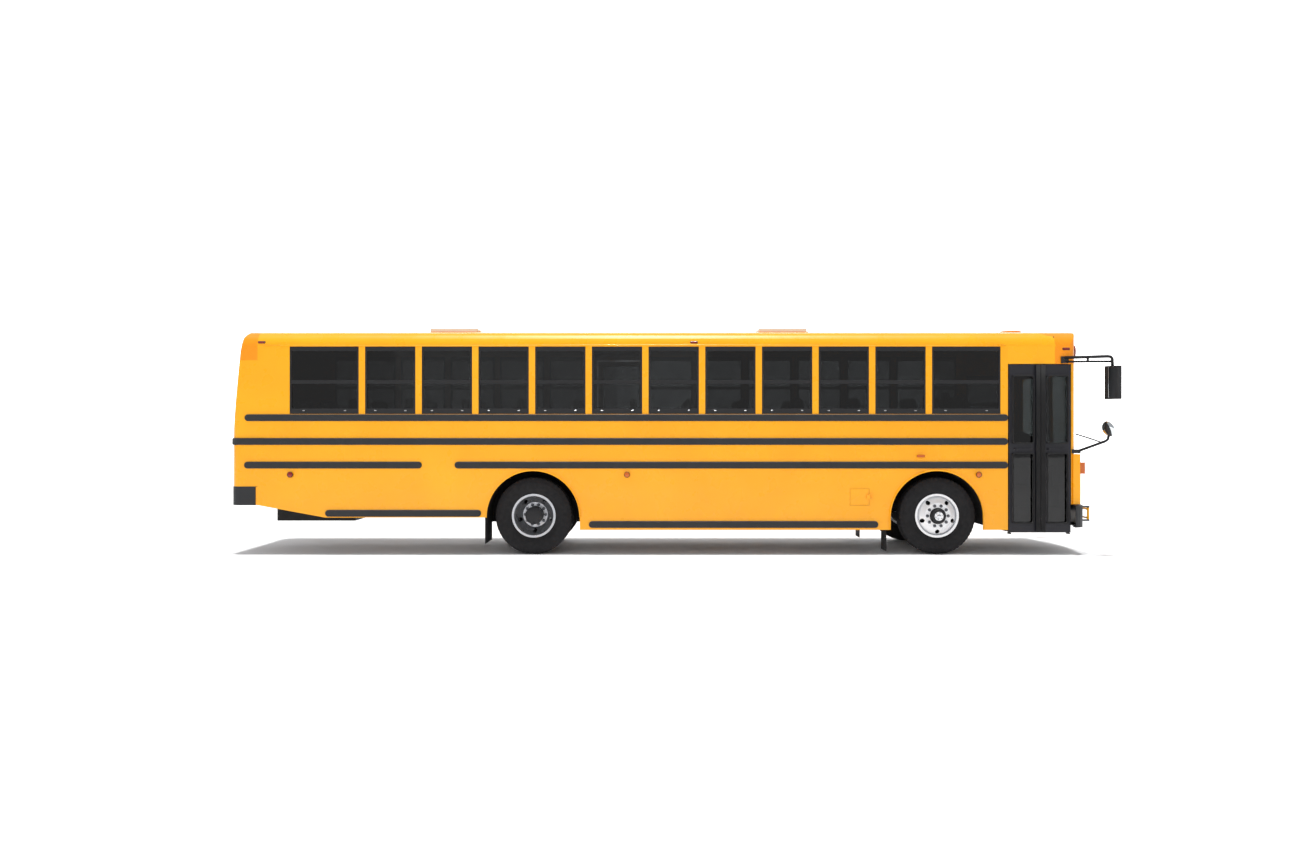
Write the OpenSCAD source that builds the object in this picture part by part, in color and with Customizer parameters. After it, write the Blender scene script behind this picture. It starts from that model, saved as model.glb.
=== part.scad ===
// School bus with a flat front, a rear engine and a two-leaf entrance door.
// X points to the front, Y to the left side, Z up. The road is z = 0.

/* [Body shell] */
// Length of the body from the rear face to the front corners
body_l = 11592; // [10500:1:14000]
// Width of the body over the side walls
body_w = 2440; // [2200:1:2600]
// Height of the roof crown above the road
roof_h = 3120; // [2950:1:3400]
// Height where the side walls turn into the roof
shoulder_h = 2860; // [2750:1:2900]
// Radius of the roof corners
roof_corner_r = 200; // [120:1:240]
// Thickness of walls and roof
wall_t = 45; // [20:1:60]
// Thickness of the lower skirts
skirt_t = 30; // [10:1:40]
// Height of the floor surface above the road
floor_h = 1200; // [1180:1:1260]
// Thickness of the floor
floor_t = 50; // [30:1:60]
// Height of the seam between side wall and skirt
seam_h = 930; // [800:1:1000]
// Height of the lower edge of the middle and front skirts
skirt_low = 341; // [300:1:450]
// Height of the lower edge of the rear skirt
rear_skirt_low = 510; // [450:1:600]
// How far the front bows forward at the centre
nose_bow = 90; // [40:1:200]
// Radius of the upright body corners
corner_r = 110; // [60:1:200]

/* [Windows] */
// Number of equal side windows
window_n = 10; // [6:1:12]
// Width of the pillar between side windows
pillar_w = 87; // [60:1:120]
// Lower edge of the side windows
window_low = 1932; // [1850:1:2000]
// Upper edge of the side windows
window_top = 2858; // [2600:1:2858]
// Width of the wide window at the rear
rear_window_w = 948; // [600:1:1000]
// Width of the wide window behind the entrance door
front_window_w = 940; // [600:1:1000]
// Height of the bottom member of a window frame
frame_low = 75; // [30:1:100]
// Height of the top member of a window frame
frame_top = 60; // [30:1:100]
// Width of the side members of a window frame
frame_side = 24; // [15:1:40]
// Thickness of the glass
glass_t = 6; // [4:1:10]

/* [Entrance door] */
// Width of the doorway
door_w = 872; // [700:1:1000]
// Height of the lower edge of the door leaves
door_low = 306; // [280:1:360]
// Height of the doorway header
door_top = 2620; // [2500:1:2640]
// Thickness of a door leaf
leaf_t = 34; // [20:1:40]
// Width of the rubber edge of a door leaf
door_seal_w = 58; // [30:1:80]

/* [Wheels] */
// Distance between the axles
wheelbase = 5560; // [4500:1:7000]
// Outer diameter of a tyre
tyre_d = 1060; // [900:1:1090]
// Width of a tyre
tyre_w = 280; // [220:1:290]
// Diameter of the rim seat
rim_d = 571; // [500:1:600]
// Half the track of the outer wheels
half_track = 1030; // [1000:1:1032]
// Distance between the two wheels of a twin pair
twin_gap = 320; // [300:1:330]
// Radius of the wheel arches
arch_r = 640; // [620:1:660]
// Height of the centre of the wheel arches
arch_z = 515; // [480:1:540]
// Sideways distance from the centre line to a kingpin
kingpin_y = 860; // [820:1:880]

/* [Underframe] */
// Outer half width over the frame rails
rail_y = 432; // [400:1:450]
// Height of the frame rail section
rail_h = 280; // [200:1:290]
// Underside of the frame rails
rail_z = 700; // [680:1:720]
// X of the jacking pads under the rails
jack_x = -3200; // [-3400:10:-3000]
// Number of cross sills under the floor
sill_n = 13; // [9:1:18]

/* [Outside fittings] */
// Height of a rub rail
rub_h = 93; // [60:1:110]
// How far a rub rail stands out
rub_t = 22; // [12:1:28]
// Length of a roof hatch
hatch_l = 680; // [500:1:800]
// Width of a roof hatch
hatch_w = 600; // [500:1:800]
// Width of the stop sign across its flats
stop_w = 450; // [350:1:500]
// Length of the crossing arm
cross_l = 1900; // [1500:1:1950]
// Height of a mirror housing
mirror_h = 450; // [300:1:500]

/* [Seats] */
// Number of bench rows
row_n = 12; // [8:1:13]
// Width of a bench
bench_w = 960; // [800:1:990]
// Height of the seat above the floor
seat_h = 430; // [380:1:460]
// Height of the seat back above the floor
back_h = 960; // [800:1:1000]

/* [Part shown] */
// Which sub-part to draw, or all of them

/* [Hidden] */
$fn = 48;
e = 0.01;
hw = body_w / 2;
iw = hw - wall_t;
rear_x = -6047;
front_x = rear_x + body_l;
nose_x = front_x + nose_bow;
floor_z = floor_h - floor_t;
door_x1 = front_x - 67;
door_x0 = door_x1 - door_w;
door_mid = (door_x0 + door_x1) / 2;
front_cut = door_x1 - 206;
rear_cut = rear_x + 357;
axle_z = tyre_d / 2;
pin_z = axle_z - 110;
rear_axle_x = rear_x + 4139;
front_axle_x = rear_axle_x + wheelbase;
front_arch_x = front_axle_x - 24;
inner_track = half_track - twin_gap;
rwin_x0 = rear_x + 797;
rwin_x1 = rwin_x0 + rear_window_w;
fwin_x1 = door_x0 - 101;
fwin_x0 = fwin_x1 - front_window_w;
win_pitch = (fwin_x0 - rwin_x1 - pillar_w) / window_n;
win_w = win_pitch - pillar_w;
edoor_k = 4;
edoor_x0 = rwin_x1 + pillar_w + edoor_k * win_pitch - 25;
edoor_x1 = edoor_x0 + win_w + 50;
edoor_low = floor_h + 12;
edoor_top = 2800;
driver_x0 = door_x0 + 60;
driver_x1 = front_cut - 50;
crown_a = hw - roof_corner_r;
crown_rise = roof_h - shoulder_h;
crown_r = (crown_a * crown_a + crown_rise * crown_rise - roof_corner_r * roof_corner_r)
    / (2 * (crown_rise - roof_corner_r));
crown_z = roof_h - crown_r;
crown_th = atan2(crown_a, shoulder_h - crown_z);
nose_a = hw - corner_r;
nose_rise = corner_r + nose_bow;
nose_r = (nose_a * nose_a + nose_rise * nose_rise - corner_r * corner_r) / (2 * nose_bow);
nose_cx = nose_x - nose_r;
nose_kx = nose_x - nose_rise;
nose_th = atan2(nose_a, nose_kx - nose_cx);
driver_low = 1700;
driver_top = 2560;
edoor_hinges = [edoor_low + 180, edoor_low + 760, edoor_top - 180];
fuel_x0 = front_axle_x - 1214;
fuel_x1 = fuel_x0 + 265;
fuel_z0 = 678;
fuel_z1 = 915;
engine_door_w = 1160;
engine_door_low = 962;
engine_door_top = 1500;
hatch_at = [rear_x + 2902, front_x - 3930];
hatch_z = roof_h + 16;
vent_x = front_cut - 267;
cap_low = 2670;
bumper_top = 936;
leaf_y = -hw + leaf_t / 2 - 2;
leaf_axes = [door_x0 + 32, door_x1 - 32];
rear_glass_w = 1300;
leaf_glass = [[436, 1393], [1529, 2455]];
sill_z = rail_z + rail_h;
housing_t = 12;
rear_in_y = rail_y + 100;
front_in_y = rail_y + 13;
well_y = -438;
well_x0 = door_x0 - 20;
well_x1 = door_x1 + 20;
steps = [[360, -934], [640, -686], [920, well_y]];
tank_x0 = front_axle_x - 1600;
tank_x1 = front_axle_x - 760;
wheel_tilt = 32;
wheel_at = [front_x - 585, 640, floor_h + 670];
seat_x0 = rwin_x0 + 20;
seat_pitch = (wheel_at[0] - 854 - seat_x0) / row_n;
aisle_y = iw - bench_w;
stop_x = door_x0 - 106;
cross_at = [nose_x + 132, -1050];
tie_x = -200;
bead_r = rim_d / 2;
barrier_x = seat_x0 + row_n * seat_pitch - 60;
mirror_at = [front_x + 415, -hw - 230, 2355];
cross_mirror_at = [front_x + 400, -hw - 120, 1730];
arm_end = mirror_at + [-20, 10, mirror_h / 2 + 130];
cross_end = cross_mirror_at + [-6, 30, -150];
rear_glass_z0 = 1960;
rear_glass_z1 = 2600;
panel_low = 690;
plate_z = 1740;
plate_dy = 177.8 / 2;
plate_dz = 120.65 / 2;
screen_low = 1500;
screen_top = 2500;
fascia_low = 692;
fascia_top = 1380;

function arc(cx, cy, r, a0, a1, n, s = 0) =
    [for (i = [s:n - s]) [cx + r * cos(a0 + (a1 - a0) * i / n),
                          cy + r * sin(a0 + (a1 - a0) * i / n)]];
function win_x(k) = rwin_x1 + pillar_w + k * win_pitch;

// Box from its lowest corner and its highest corner
module span(a, b) {
    translate(a) cube([b[0] - a[0], b[1] - a[1], b[2] - a[2]]);
}
// Extrusion of a [y, z] outline along X
module along_x(x0, x1) {
    translate([x0, 0, 0]) rotate([90, 0, 90]) linear_extrude(x1 - x0) children();
}
// Extrusion of an [x, z] outline along Y
module along_y(y0, y1) {
    translate([0, y1, 0]) rotate([90, 0, 0]) linear_extrude(y1 - y0) children();
}
// Copy on the other side as well
module both() {
    children();
    mirror([0, 1, 0]) children();
}
// Round bar along Y
module bar_y(r, y0, y1) {
    translate([0, y1, 0]) rotate([90, 0, 0]) cylinder(r = r, h = y1 - y0);
}
// Round bar along X
module bar_x(r, x0, x1) {
    translate([x0, 0, 0]) rotate([0, 90, 0]) cylinder(r = r, h = x1 - x0);
}
// Round bar between two points
module rod(a, b, r) {
    d = b - a;
    l = norm(d);
    translate(a) rotate([0, acos(d[2] / l), atan2(d[1], d[0])]) cylinder(r = r, h = l, $fn = 12);
}

// Cross-section of the body
module section2d() {
    polygon(concat([[-hw, 0], [hw, 0]],
        arc(crown_a, shoulder_h, roof_corner_r, 0, 90 - crown_th, 10),
        arc(0, crown_z, crown_r, 90 - crown_th, 90 + crown_th, 18, 1),
        arc(-crown_a, shoulder_h, roof_corner_r, 90 + crown_th, 180, 10)));
}
// Outline of the body from above
module plan2d() {
    polygon(concat(
        arc(rear_x + corner_r, corner_r - hw, corner_r, 180, 270, 6),
        arc(nose_kx, -nose_a, corner_r, 270, 360 - nose_th, 6),
        arc(nose_cx, 0, nose_r, -nose_th, nose_th, 14, 1),
        arc(nose_kx, nose_a, corner_r, nose_th, 90, 6),
        arc(rear_x + corner_r, hw - corner_r, corner_r, 90, 180, 6)));
}
// Outline of the body from the side
module side2d() {
    polygon(concat([[rear_x, 0], [nose_x, 0], [nose_x, 1300], [nose_x - 12, 2000]],
        arc(nose_x - 250, roof_h - 226, 228, 4, 86, 8),
        [[nose_x - 420, roof_h + 30], [rear_x + 420, roof_h + 30]],
        [[rear_x + 310, roof_h], [rear_x + 222, roof_h - 52], [rear_x + 160, roof_h - 140],
         [rear_x + 124, roof_h - 330], [rear_x + 84, 2400], [rear_x + 42, 2000],
         [rear_x, 1600]]));
}
// Solid of the whole body, its faces moved inwards by i
module envelope(i) {
    intersection() {
        along_x(rear_x - 205, nose_x + 205) offset(delta = -i) section2d();
        along_y(-hw - 205, hw + 205) offset(delta = -i) side2d();
        linear_extrude(roof_h + 210) offset(delta = -i) plan2d();
    }
}
// Skin of the body
module skin() {
    difference() {
        envelope(0);
        envelope(wall_t);
    }
}

// Part of a hinge that stays on the body: two ears and a pin.
// The axis is Z, the body lies on the +X side, its face 18 below in Y.
module hinge_ears(l = 60) {
    for (s = [-1, 1]) translate([0, 0, s * (l / 2 + 8)]) {
        cylinder(r = 11, h = 14, center = true);
        translate([0, -18, -7]) cube([40, 26, 14]);
    }
    cylinder(r = 5, h = l + 30, center = true);
}
// Part of a hinge that moves with the door
module hinge_knuckle(l = 60) {
    difference() {
        union() {
            cylinder(r = 11, h = l, center = true);
            translate([-40, -18, -l / 2]) cube([40, 26, l]);
        }
        cylinder(r = 5.06, h = l + 2, center = true);
    }
}
// Places for the hinges
module at_edoor(z) {
    translate([edoor_x1 + 3, hw + 18, z]) children();
}
module at_fuel(z) {
    translate([fuel_x1 + 3, -hw - 18, z]) mirror([0, 1, 0]) children();
}
module at_engine(y) {
    translate([rear_x - 18, y, engine_door_top + 3]) mirror([1, 0, 0]) rotate([0, 0, 90])
        rotate([0, 90, 0]) rotate([0, 0, 180]) children();
}

// Space of one wheel arch
module arch_space(x, y0, y1, r = arch_r) {
    bar_at(x, arch_z, r, y0, y1);
    span([x - r, y0, 200], [x + r, y1, arch_z]);
}
module bar_at(x, z, r, y0, y1) {
    translate([x, 0, z]) bar_y(r, y0, y1, $fn = 96);
}
// Openings of the side windows from y0 to y1, without number skip
module side_windows(y0, y1, skip = -1) {
    span([rwin_x0, y0, window_low], [rwin_x1, y1, window_top]);
    span([fwin_x0, y0, window_low], [fwin_x1, y1, window_top]);
    for (k = [0:window_n - 1]) if (k != skip)
        span([win_x(k), y0, window_low], [win_x(k) + win_w, y1, window_top]);
}

module left_side_wall() {
    color("#ffb32a") {
        difference() {
            span([rear_cut, iw, seam_h], [front_cut, hw, shoulder_h]);
            side_windows(iw - 1, hw + 1, edoor_k);
            span([driver_x0, iw - 1, driver_low], [driver_x1, hw + 1, driver_top]);
            span([edoor_x0, iw - 1, edoor_low], [edoor_x1, hw + 1, edoor_top]);
            arch_space(rear_axle_x, iw - 1, hw + 1);
            arch_space(front_arch_x, iw - 1, hw + 1);
        }
        for (z = edoor_hinges) at_edoor(z) hinge_ears();
    }
}
module right_side_wall() {
    color("#ffb32a") difference() {
        span([rear_cut, -hw, seam_h], [door_x0, -iw, shoulder_h]);
        side_windows(-hw - 1, -iw + 1);
        arch_space(rear_axle_x, -hw - 1, -iw + 1);
        arch_space(front_arch_x, -hw - 1, -iw + 1);
    }
}
module skirt_shape(x1) {
    difference() {
        along_y(hw - skirt_t, hw) union() {
            polygon([[rear_cut - 25, seam_h], [rear_cut - 25, 686],
                [rear_cut + 928, rear_skirt_low], [rear_axle_x, rear_skirt_low],
                [rear_axle_x, seam_h]]);
            translate([rear_axle_x, skirt_low]) square([x1 - rear_axle_x, seam_h - skirt_low]);
        }
        arch_space(rear_axle_x, hw - skirt_t - 1, hw + 1);
        arch_space(front_arch_x, hw - skirt_t - 1, hw + 1);
    }
}
module left_skirt() {
    color("#ffb32a") skirt_shape(front_cut);
}
module right_skirt() {
    color("#ffb32a") {
        difference() {
            mirror([0, 1, 0]) skirt_shape(door_x0);
            span([fuel_x0, -hw - 1, fuel_z0], [fuel_x1, 0, fuel_z1]);
        }
        difference() {
            span([fuel_x0 - 6, skirt_t - hw, fuel_z0 - 6], [fuel_x1 + 6, skirt_t + 40 - hw, seam_h]);
            span([fuel_x0, skirt_t - hw - 1, fuel_z0], [fuel_x1, skirt_t + 34 - hw, fuel_z1]);
        }
        at_fuel((fuel_z0 + fuel_z1) / 2) hinge_ears(50);
    }
}
// Region of the front roof cap seen from the side
module cap2d() {
    polygon([[front_cut, door_top], [front_cut, shoulder_h], [front_cut - 40, shoulder_h + 70],
        [front_cut - 120, roof_h - 100], [front_cut - 257, roof_h - 40],
        [front_cut - 257, roof_h + 100], [nose_x + 100, roof_h + 100], [nose_x + 100, door_top]]);
}
module roof() {
    color("#ffb32a") {
        difference() {
            along_x(rear_cut, front_cut) difference() {
                section2d();
                offset(delta = -wall_t) section2d();
            }
            span([rear_cut - 1, -hw - 1, -1], [front_cut + 1, hw + 1, shoulder_h]);
            along_y(-hw - 1, hw + 1) cap2d();
            for (x = hatch_at) span([x - hatch_l / 2 + 30, 30 - hatch_w / 2, 3000],
                [x + hatch_l / 2 - 30, hatch_w / 2 - 30, 3300]);
        }
        for (x = hatch_at) {
            difference() {
                span([x - hatch_l / 2, -hatch_w / 2, hatch_z - 70],
                    [x + hatch_l / 2, hatch_w / 2, hatch_z]);
                span([x - hatch_l / 2 + 30, 30 - hatch_w / 2, 3000],
                    [x + hatch_l / 2 - 30, hatch_w / 2 - 30, 3300]);
            }
            for (y = [-200, 200]) for (s = [-1, 1]) {
                translate([x + hatch_l / 2 + 26, y + s * 38, hatch_z]) {
                    rotate([90, 0, 0]) cylinder(r = 11, h = 14, center = true);
                    span([-27, -7, -60], [11, 7, 0]);
                }
            }
            for (y = [-200, 200]) translate([x + hatch_l / 2 + 26, 0, hatch_z])
                bar_y(5, y - 45, y + 45);
        }
        difference() {
            translate([vent_x, 0, roof_h - 20]) cylinder(r1 = 150, r2 = 130, h = 45);
            envelope(0);
        }
        translate([vent_x, 0, roof_h + 25]) cylinder(r = 150, h = 18);
    }
}
module roof_caps() {
    color("#ffa21f") {
        intersection() {
            skin();
            span([rear_x - 9, -hw - 9, cap_low], [rear_cut, hw + 9, roof_h + 9]);
        }
        difference() {
            union() {
                intersection() {
                    skin();
                    along_y(-hw - 9, hw + 9) cap2d();
                }
                span([door_x0, -hw, door_top], [front_cut, -iw, shoulder_h]);
            }
            for (x = leaf_axes) translate([x, leaf_y, door_top - 1]) cylinder(r = 9, h = 30);
        }
        for (x = leaf_axes) translate([x, leaf_y, door_top - 34]) cylinder(r = 8, h = 64);
        for (x = leaf_axes) translate([x, leaf_y, door_top + 10]) cylinder(r = 9, h = 19);
    }
}
// Four bolt holes of the number plate, right through the rear wall
module plate_holes() {
    for (y = [-plate_dy, plate_dy]) for (z = [-plate_dz, plate_dz])
        translate([0, y, plate_z + z]) bar_x(3.5, rear_x - 9, rear_x + 200, $fn = 32);
}
module rear_wall() {
    color("#ffa826") {
        difference() {
            intersection() {
                skin();
                span([rear_x - 9, -hw - 9, bumper_top], [rear_cut, hw + 9, cap_low]);
            }
            span([rear_x - 99, -rear_glass_w / 2, rear_glass_z0],
                [rear_x + 200, rear_glass_w / 2, rear_glass_z1]);
            span([rear_x - 9, -engine_door_w / 2, engine_door_low],
                [rear_x + wall_t + 1, engine_door_w / 2, engine_door_top]);
            plate_holes();
        }
        for (y = [-380, 380]) at_engine(y) hinge_ears();
        difference() {
            span([rear_x - 6, -165, plate_z - 90], [rear_x + 60, 165, plate_z + 90]);
            envelope(0);
            plate_holes();
        }
    }
}
module front_panel() {
    color("#ffa826") difference() {
        intersection() {
            skin();
            union() {
                span([front_cut, 0, panel_low], [nose_x + 9, hw + 9, door_top]);
                span([door_x1, -hw - 9, panel_low], [nose_x + 9, 0, door_top]);
            }
        }
        screen_space(0);
    }
}
// Opening of the windscreen, made smaller by i
module screen_space(i) {
    both() along_x(front_x - 150, nose_x + 50) offset(delta = -i)
        polygon([[35, screen_low], [hw - 100, screen_low], [hw - 100, screen_top - 60],
            [hw - 160, screen_top], [35, screen_top]]);
}
module front_fascia() {
    color("#ffa826") difference() {
        intersection() {
            envelope(-85);
            span([front_x - 40, 5 - hw, fascia_low], [nose_x + 200, hw - 5, fascia_top]);
        }
        envelope(0);
        intersection() {
            envelope(-67);
            span([front_x - 140, 23 - hw, fascia_low + 18],
                [nose_x + 200, hw - 23, fascia_top - 18]);
        }
    }
}

module windscreen() {
    color("#1c2024") intersection() {
        difference() {
            envelope(12);
            envelope(12 + glass_t);
        }
        screen_space(0);
    }
}
// Frame of one window between x0 and x1, outer face at y1
module window_frame(x0, x1, y0, y1, z0, z1) {
    mid = z0 + (z1 - z0) * 0.475;
    difference() {
        span([x0, y0, z0], [x1, y1, z1]);
        span([x0 + frame_side, y0 - 1, z0 + frame_low], [x1 - frame_side, y1 + 1, mid - 24]);
        span([x0 + frame_side, y0 - 1, mid + 24], [x1 - frame_side, y1 + 1, z1 - frame_top]);
    }
}
// Two panes of one window
module window_panes(x0, x1, y, z0, z1) {
    mid = z0 + (z1 - z0) * 0.475;
    span([x0 + frame_side, y, z0 + frame_low], [x1 - frame_side, y + glass_t, mid - 24]);
    span([x0 + frame_side, y + 10, mid + 24], [x1 - frame_side, y + 10 + glass_t, z1 - frame_top]);
}
module window_frames() {
    color("#18181c") {
        both() {
            window_frame(rwin_x0, rwin_x1, iw, hw - 6, window_low, window_top);
            window_frame(fwin_x0, fwin_x1, iw, hw - 6, window_low, window_top);
            for (k = [0:window_n - 1]) if (k != edoor_k)
                window_frame(win_x(k), win_x(k) + win_w, iw, hw - 6, window_low, window_top);
        }
        window_frame(win_x(edoor_k), win_x(edoor_k) + win_w, -hw + 6, -iw, window_low, window_top);
        window_frame(driver_x0, driver_x1, iw, hw - 6, driver_low, driver_top);
        intersection() {
            skin();
            difference() {
                span([rear_x - 99, -rear_glass_w / 2, rear_glass_z0],
                    [rear_x + 200, rear_glass_w / 2, rear_glass_z1]);
                span([rear_x - 99, 35 - rear_glass_w / 2, rear_glass_z0 + 35],
                    [rear_x + 200, rear_glass_w / 2 - 35, rear_glass_z1 - 35]);
            }
        }
    }
}
module window_glass() {
    color("#1e2226") {
        both() {
            window_panes(rwin_x0, rwin_x1, hw - 30, window_low, window_top);
            window_panes(fwin_x0, fwin_x1, hw - 30, window_low, window_top);
            for (k = [0:window_n - 1]) if (k != edoor_k)
                window_panes(win_x(k), win_x(k) + win_w, hw - 30, window_low, window_top);
        }
        mirror([0, 1, 0]) window_panes(win_x(edoor_k), win_x(edoor_k) + win_w, hw - 30,
            window_low, window_top);
        window_panes(driver_x0, driver_x1, hw - 30, driver_low, driver_top);
        intersection() {
            difference() {
                envelope(14);
                envelope(14 + glass_t);
            }
            span([rear_x - 99, 35 - rear_glass_w / 2, rear_glass_z0 + 35],
                [rear_x + 200, rear_glass_w / 2 - 35, rear_glass_z1 - 35]);
        }
    }
}
module emergency_door() {
    color("#ffb32a") {
        difference() {
            span([edoor_x0 + 6, iw + 2, edoor_low + 6], [edoor_x1 - 6, hw, edoor_top - 6]);
            span([edoor_x0 + 90, iw, window_low], [edoor_x1 - 90, hw + 1, edoor_top - 90]);
            span([edoor_x0 + 90, iw, edoor_low + 110], [edoor_x1 - 90, hw + 1, window_low - 120]);
        }
        for (z = edoor_hinges) at_edoor(z) hinge_knuckle();
        difference() {
            span([edoor_x0 + 22, hw, 1760], [edoor_x0 + 70, hw + 45, 1960]);
            span([edoor_x0 + 21, hw, 1785], [edoor_x0 + 71, hw + 30, 1935]);
        }
    }
}
module emergency_door_glass() {
    color("#1e2226") {
        span([edoor_x0 + 90, hw - 24, window_low], [edoor_x1 - 90, hw - 18, edoor_top - 90]);
        span([edoor_x0 + 90, hw - 24, edoor_low + 110], [edoor_x1 - 90, hw - 18, window_low - 120]);
    }
}
// One leaf of the entrance door, its axis on Z, the leaf towards +X
module leaf(w) {
    difference() {
        translate([-20, -leaf_t / 2, door_low]) cube([w + 20, leaf_t, door_top - 8 - door_low]);
        for (z = leaf_glass) translate([24, -leaf_t, z[0]])
            cube([w - door_seal_w - 24 - 28, 2 * leaf_t, z[1] - z[0]]);
        translate([0, 0, door_low - 1]) cylinder(r = 8.06, h = 40);
        translate([0, 0, door_top - 48]) cylinder(r = 8.06, h = 60);
    }
    translate([w - door_seal_w - 60, -leaf_t / 2 - 34, 1441]) {
        span([-230, 0, 0], [-214, 34, 16]);
        span([0, 0, 0], [16, 34, 16]);
        span([-230, -14, 0], [16, 0, 16]);
    }
}
module leaf_panes(w) {
    for (z = leaf_glass) translate([24, -glass_t / 2, z[0]])
        cube([w - door_seal_w - 52, glass_t, z[1] - z[0]]);
}
module front_door_leaf() {
    color("#2b2b36") translate([leaf_axes[1], leaf_y, 0]) mirror([1, 0, 0])
        leaf(leaf_axes[1] - door_mid - 3);
}
module front_door_glass() {
    color("#1c1c20") translate([leaf_axes[1], leaf_y, 0]) mirror([1, 0, 0])
        leaf_panes(leaf_axes[1] - door_mid - 3);
}
module rear_door_leaf() {
    color("#2b2b36") translate([leaf_axes[0], leaf_y, 0]) leaf(door_mid - 3 - leaf_axes[0]);
}
module rear_door_glass() {
    color("#1c1c20") translate([leaf_axes[0], leaf_y, 0]) leaf_panes(door_mid - 3 - leaf_axes[0]);
}
module roof_hatch(x) {
    translate([x, 0, hatch_z]) difference() {
        linear_extrude(44) offset(r = 30, $fn = 32)
            square([hatch_l - 50, hatch_w - 40], center = true);
        translate([0, 0, -1]) cube([hatch_l - 60, hatch_w - 60, 70], center = true);
    }
    for (y = [-200, 200]) translate([x + hatch_l / 2 + 26, y, hatch_z]) difference() {
        union() {
            rotate([90, 0, 0]) cylinder(r = 11, h = 60, center = true);
            translate([-40, -30, 0]) cube([40, 60, 10]);
        }
        rotate([90, 0, 0]) cylinder(r = 5.06, h = 62, center = true);
    }
}
module front_roof_hatch() {
    color("#d8d6d0") roof_hatch(hatch_at[1]);
}
module rear_roof_hatch() {
    color("#d8d6d0") roof_hatch(hatch_at[0]);
}
module engine_door() {
    color("#ffa826") {
        difference() {
            span([rear_x, 6 - engine_door_w / 2, engine_door_low + 6],
                [rear_x + 40, engine_door_w / 2 - 6, engine_door_top - 6]);
            for (i = [0:5]) span([rear_x - 1, -430, 1030 + i * 60], [rear_x + 41, 430, 1058 + i * 60]);
        }
        for (y = [-380, 380]) at_engine(y) hinge_knuckle();
    }
}
module fuel_door() {
    color("#ffb32a") {
        span([fuel_x0 + 4, -hw, fuel_z0 + 4], [fuel_x1 - 4, -hw + 10, fuel_z1 - 4]);
        at_fuel((fuel_z0 + fuel_z1) / 2) hinge_knuckle(50);
    }
}
// Section of a rub rail with its lower edge at z
module rub2d(z) {
    polygon([[0, z], [rub_t - 6, z], [rub_t, z + 8], [rub_t, z + rub_h - 8],
        [rub_t - 6, z + rub_h], [0, z + rub_h]]);
}
module rub(x0, x1, z) {
    intersection() {
        along_x(x0, x1) translate([hw, 0]) rub2d(z);
        along_y(hw - 1, hw + rub_t + 1) {
            for (x = [x0 + rub_h / 2, x1 - rub_h / 2]) translate([x, z + rub_h / 2])
                circle(r = rub_h / 2, $fn = 48);
            translate([x0 + rub_h / 2, z - 1]) square([x1 - x0 - rub_h, rub_h + 2]);
        }
    }
}
// Middle rail going round a rear corner
module rub_corner(z) {
    difference() {
        intersection() {
            envelope(-rub_t);
            span([rear_x - 99, hw - 240, z], [rear_cut + rub_h, hw + 99, z + rub_h]);
        }
        envelope(0);
    }
}
module rub_rails() {
    color("#30303a") {
        mirror([0, 1, 0]) {
            rub(rear_x + 186, door_x0 - 3, 1834);
            rub(rear_cut, door_x0 - 3, 1508);
            rub(rear_x + 179, rear_x + 2612, 1184);
            rub(rear_x + 3064, door_x0 - 3, 1184);
            rub(rear_x + 1290, rear_axle_x - arch_r - 74, 523);
            rub(rear_axle_x + arch_r + 125, front_arch_x - arch_r - 164, 370);
        }
        both() rub_corner(1508);
        for (z = [1834, 1508, 1184]) {
            rub(z == 1508 ? rear_cut : rear_x + 186, edoor_x0 - 20, z);
            rub(edoor_x1 + 60, front_cut - 20, z);
        }
        rub(rear_x + 1290, rear_axle_x - arch_r - 74, 523);
        rub(rear_axle_x + arch_r + 125, front_arch_x - arch_r - 164, 370);
    }
}
module front_bumper() {
    color("#3a3a46") difference() {
        intersection() {
            envelope(-112);
            span([front_x - 40, -hw - 99, 380], [nose_x + 200, hw + 99, 680]);
        }
        intersection() {
            envelope(-98);
            span([front_x - 140, -hw - 99, 394], [nose_x + 200, hw + 99, 666]);
        }
        envelope(-10);
    }
}
module rear_bumper() {
    color("#3a3a46") {
        difference() {
            intersection() {
                envelope(-8);
                span([rear_x - 99, -hw - 99, 680], [rear_cut - 25, hw + 99, bumper_top]);
            }
            envelope(wall_t);
        }
        both() difference() {
            span([rear_x + 300, rail_y - 60, 630], [rear_x + 380, rail_y - 20, rail_z]);
            translate([rear_x + 340, 0, 662]) bar_y(13, 0, hw);
        }
    }
}

module frame_rails() {
    color("#26262a") {
        intersection() {
            envelope(wall_t);
            both() along_x(rear_x, nose_x) difference() {
                translate([rail_y - 80, rail_z]) square([80, rail_h]);
                translate([rail_y - 81, rail_z + 8]) square([73, rail_h - 16]);
            }
        }
        both() span([jack_x - 50, rail_y - 80, rail_z - 12], [jack_x + 50, rail_y, rail_z + 1]);
        both() intersection() {
            envelope(-98);
            union() {
                span([front_x - 400, rail_y - 80, 560], [front_x - 60, rail_y, rail_z]);
                span([front_x - 400, rail_y - 80, 560], [nose_x + 200, rail_y, 666]);
            }
        }
    }
}
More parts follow.
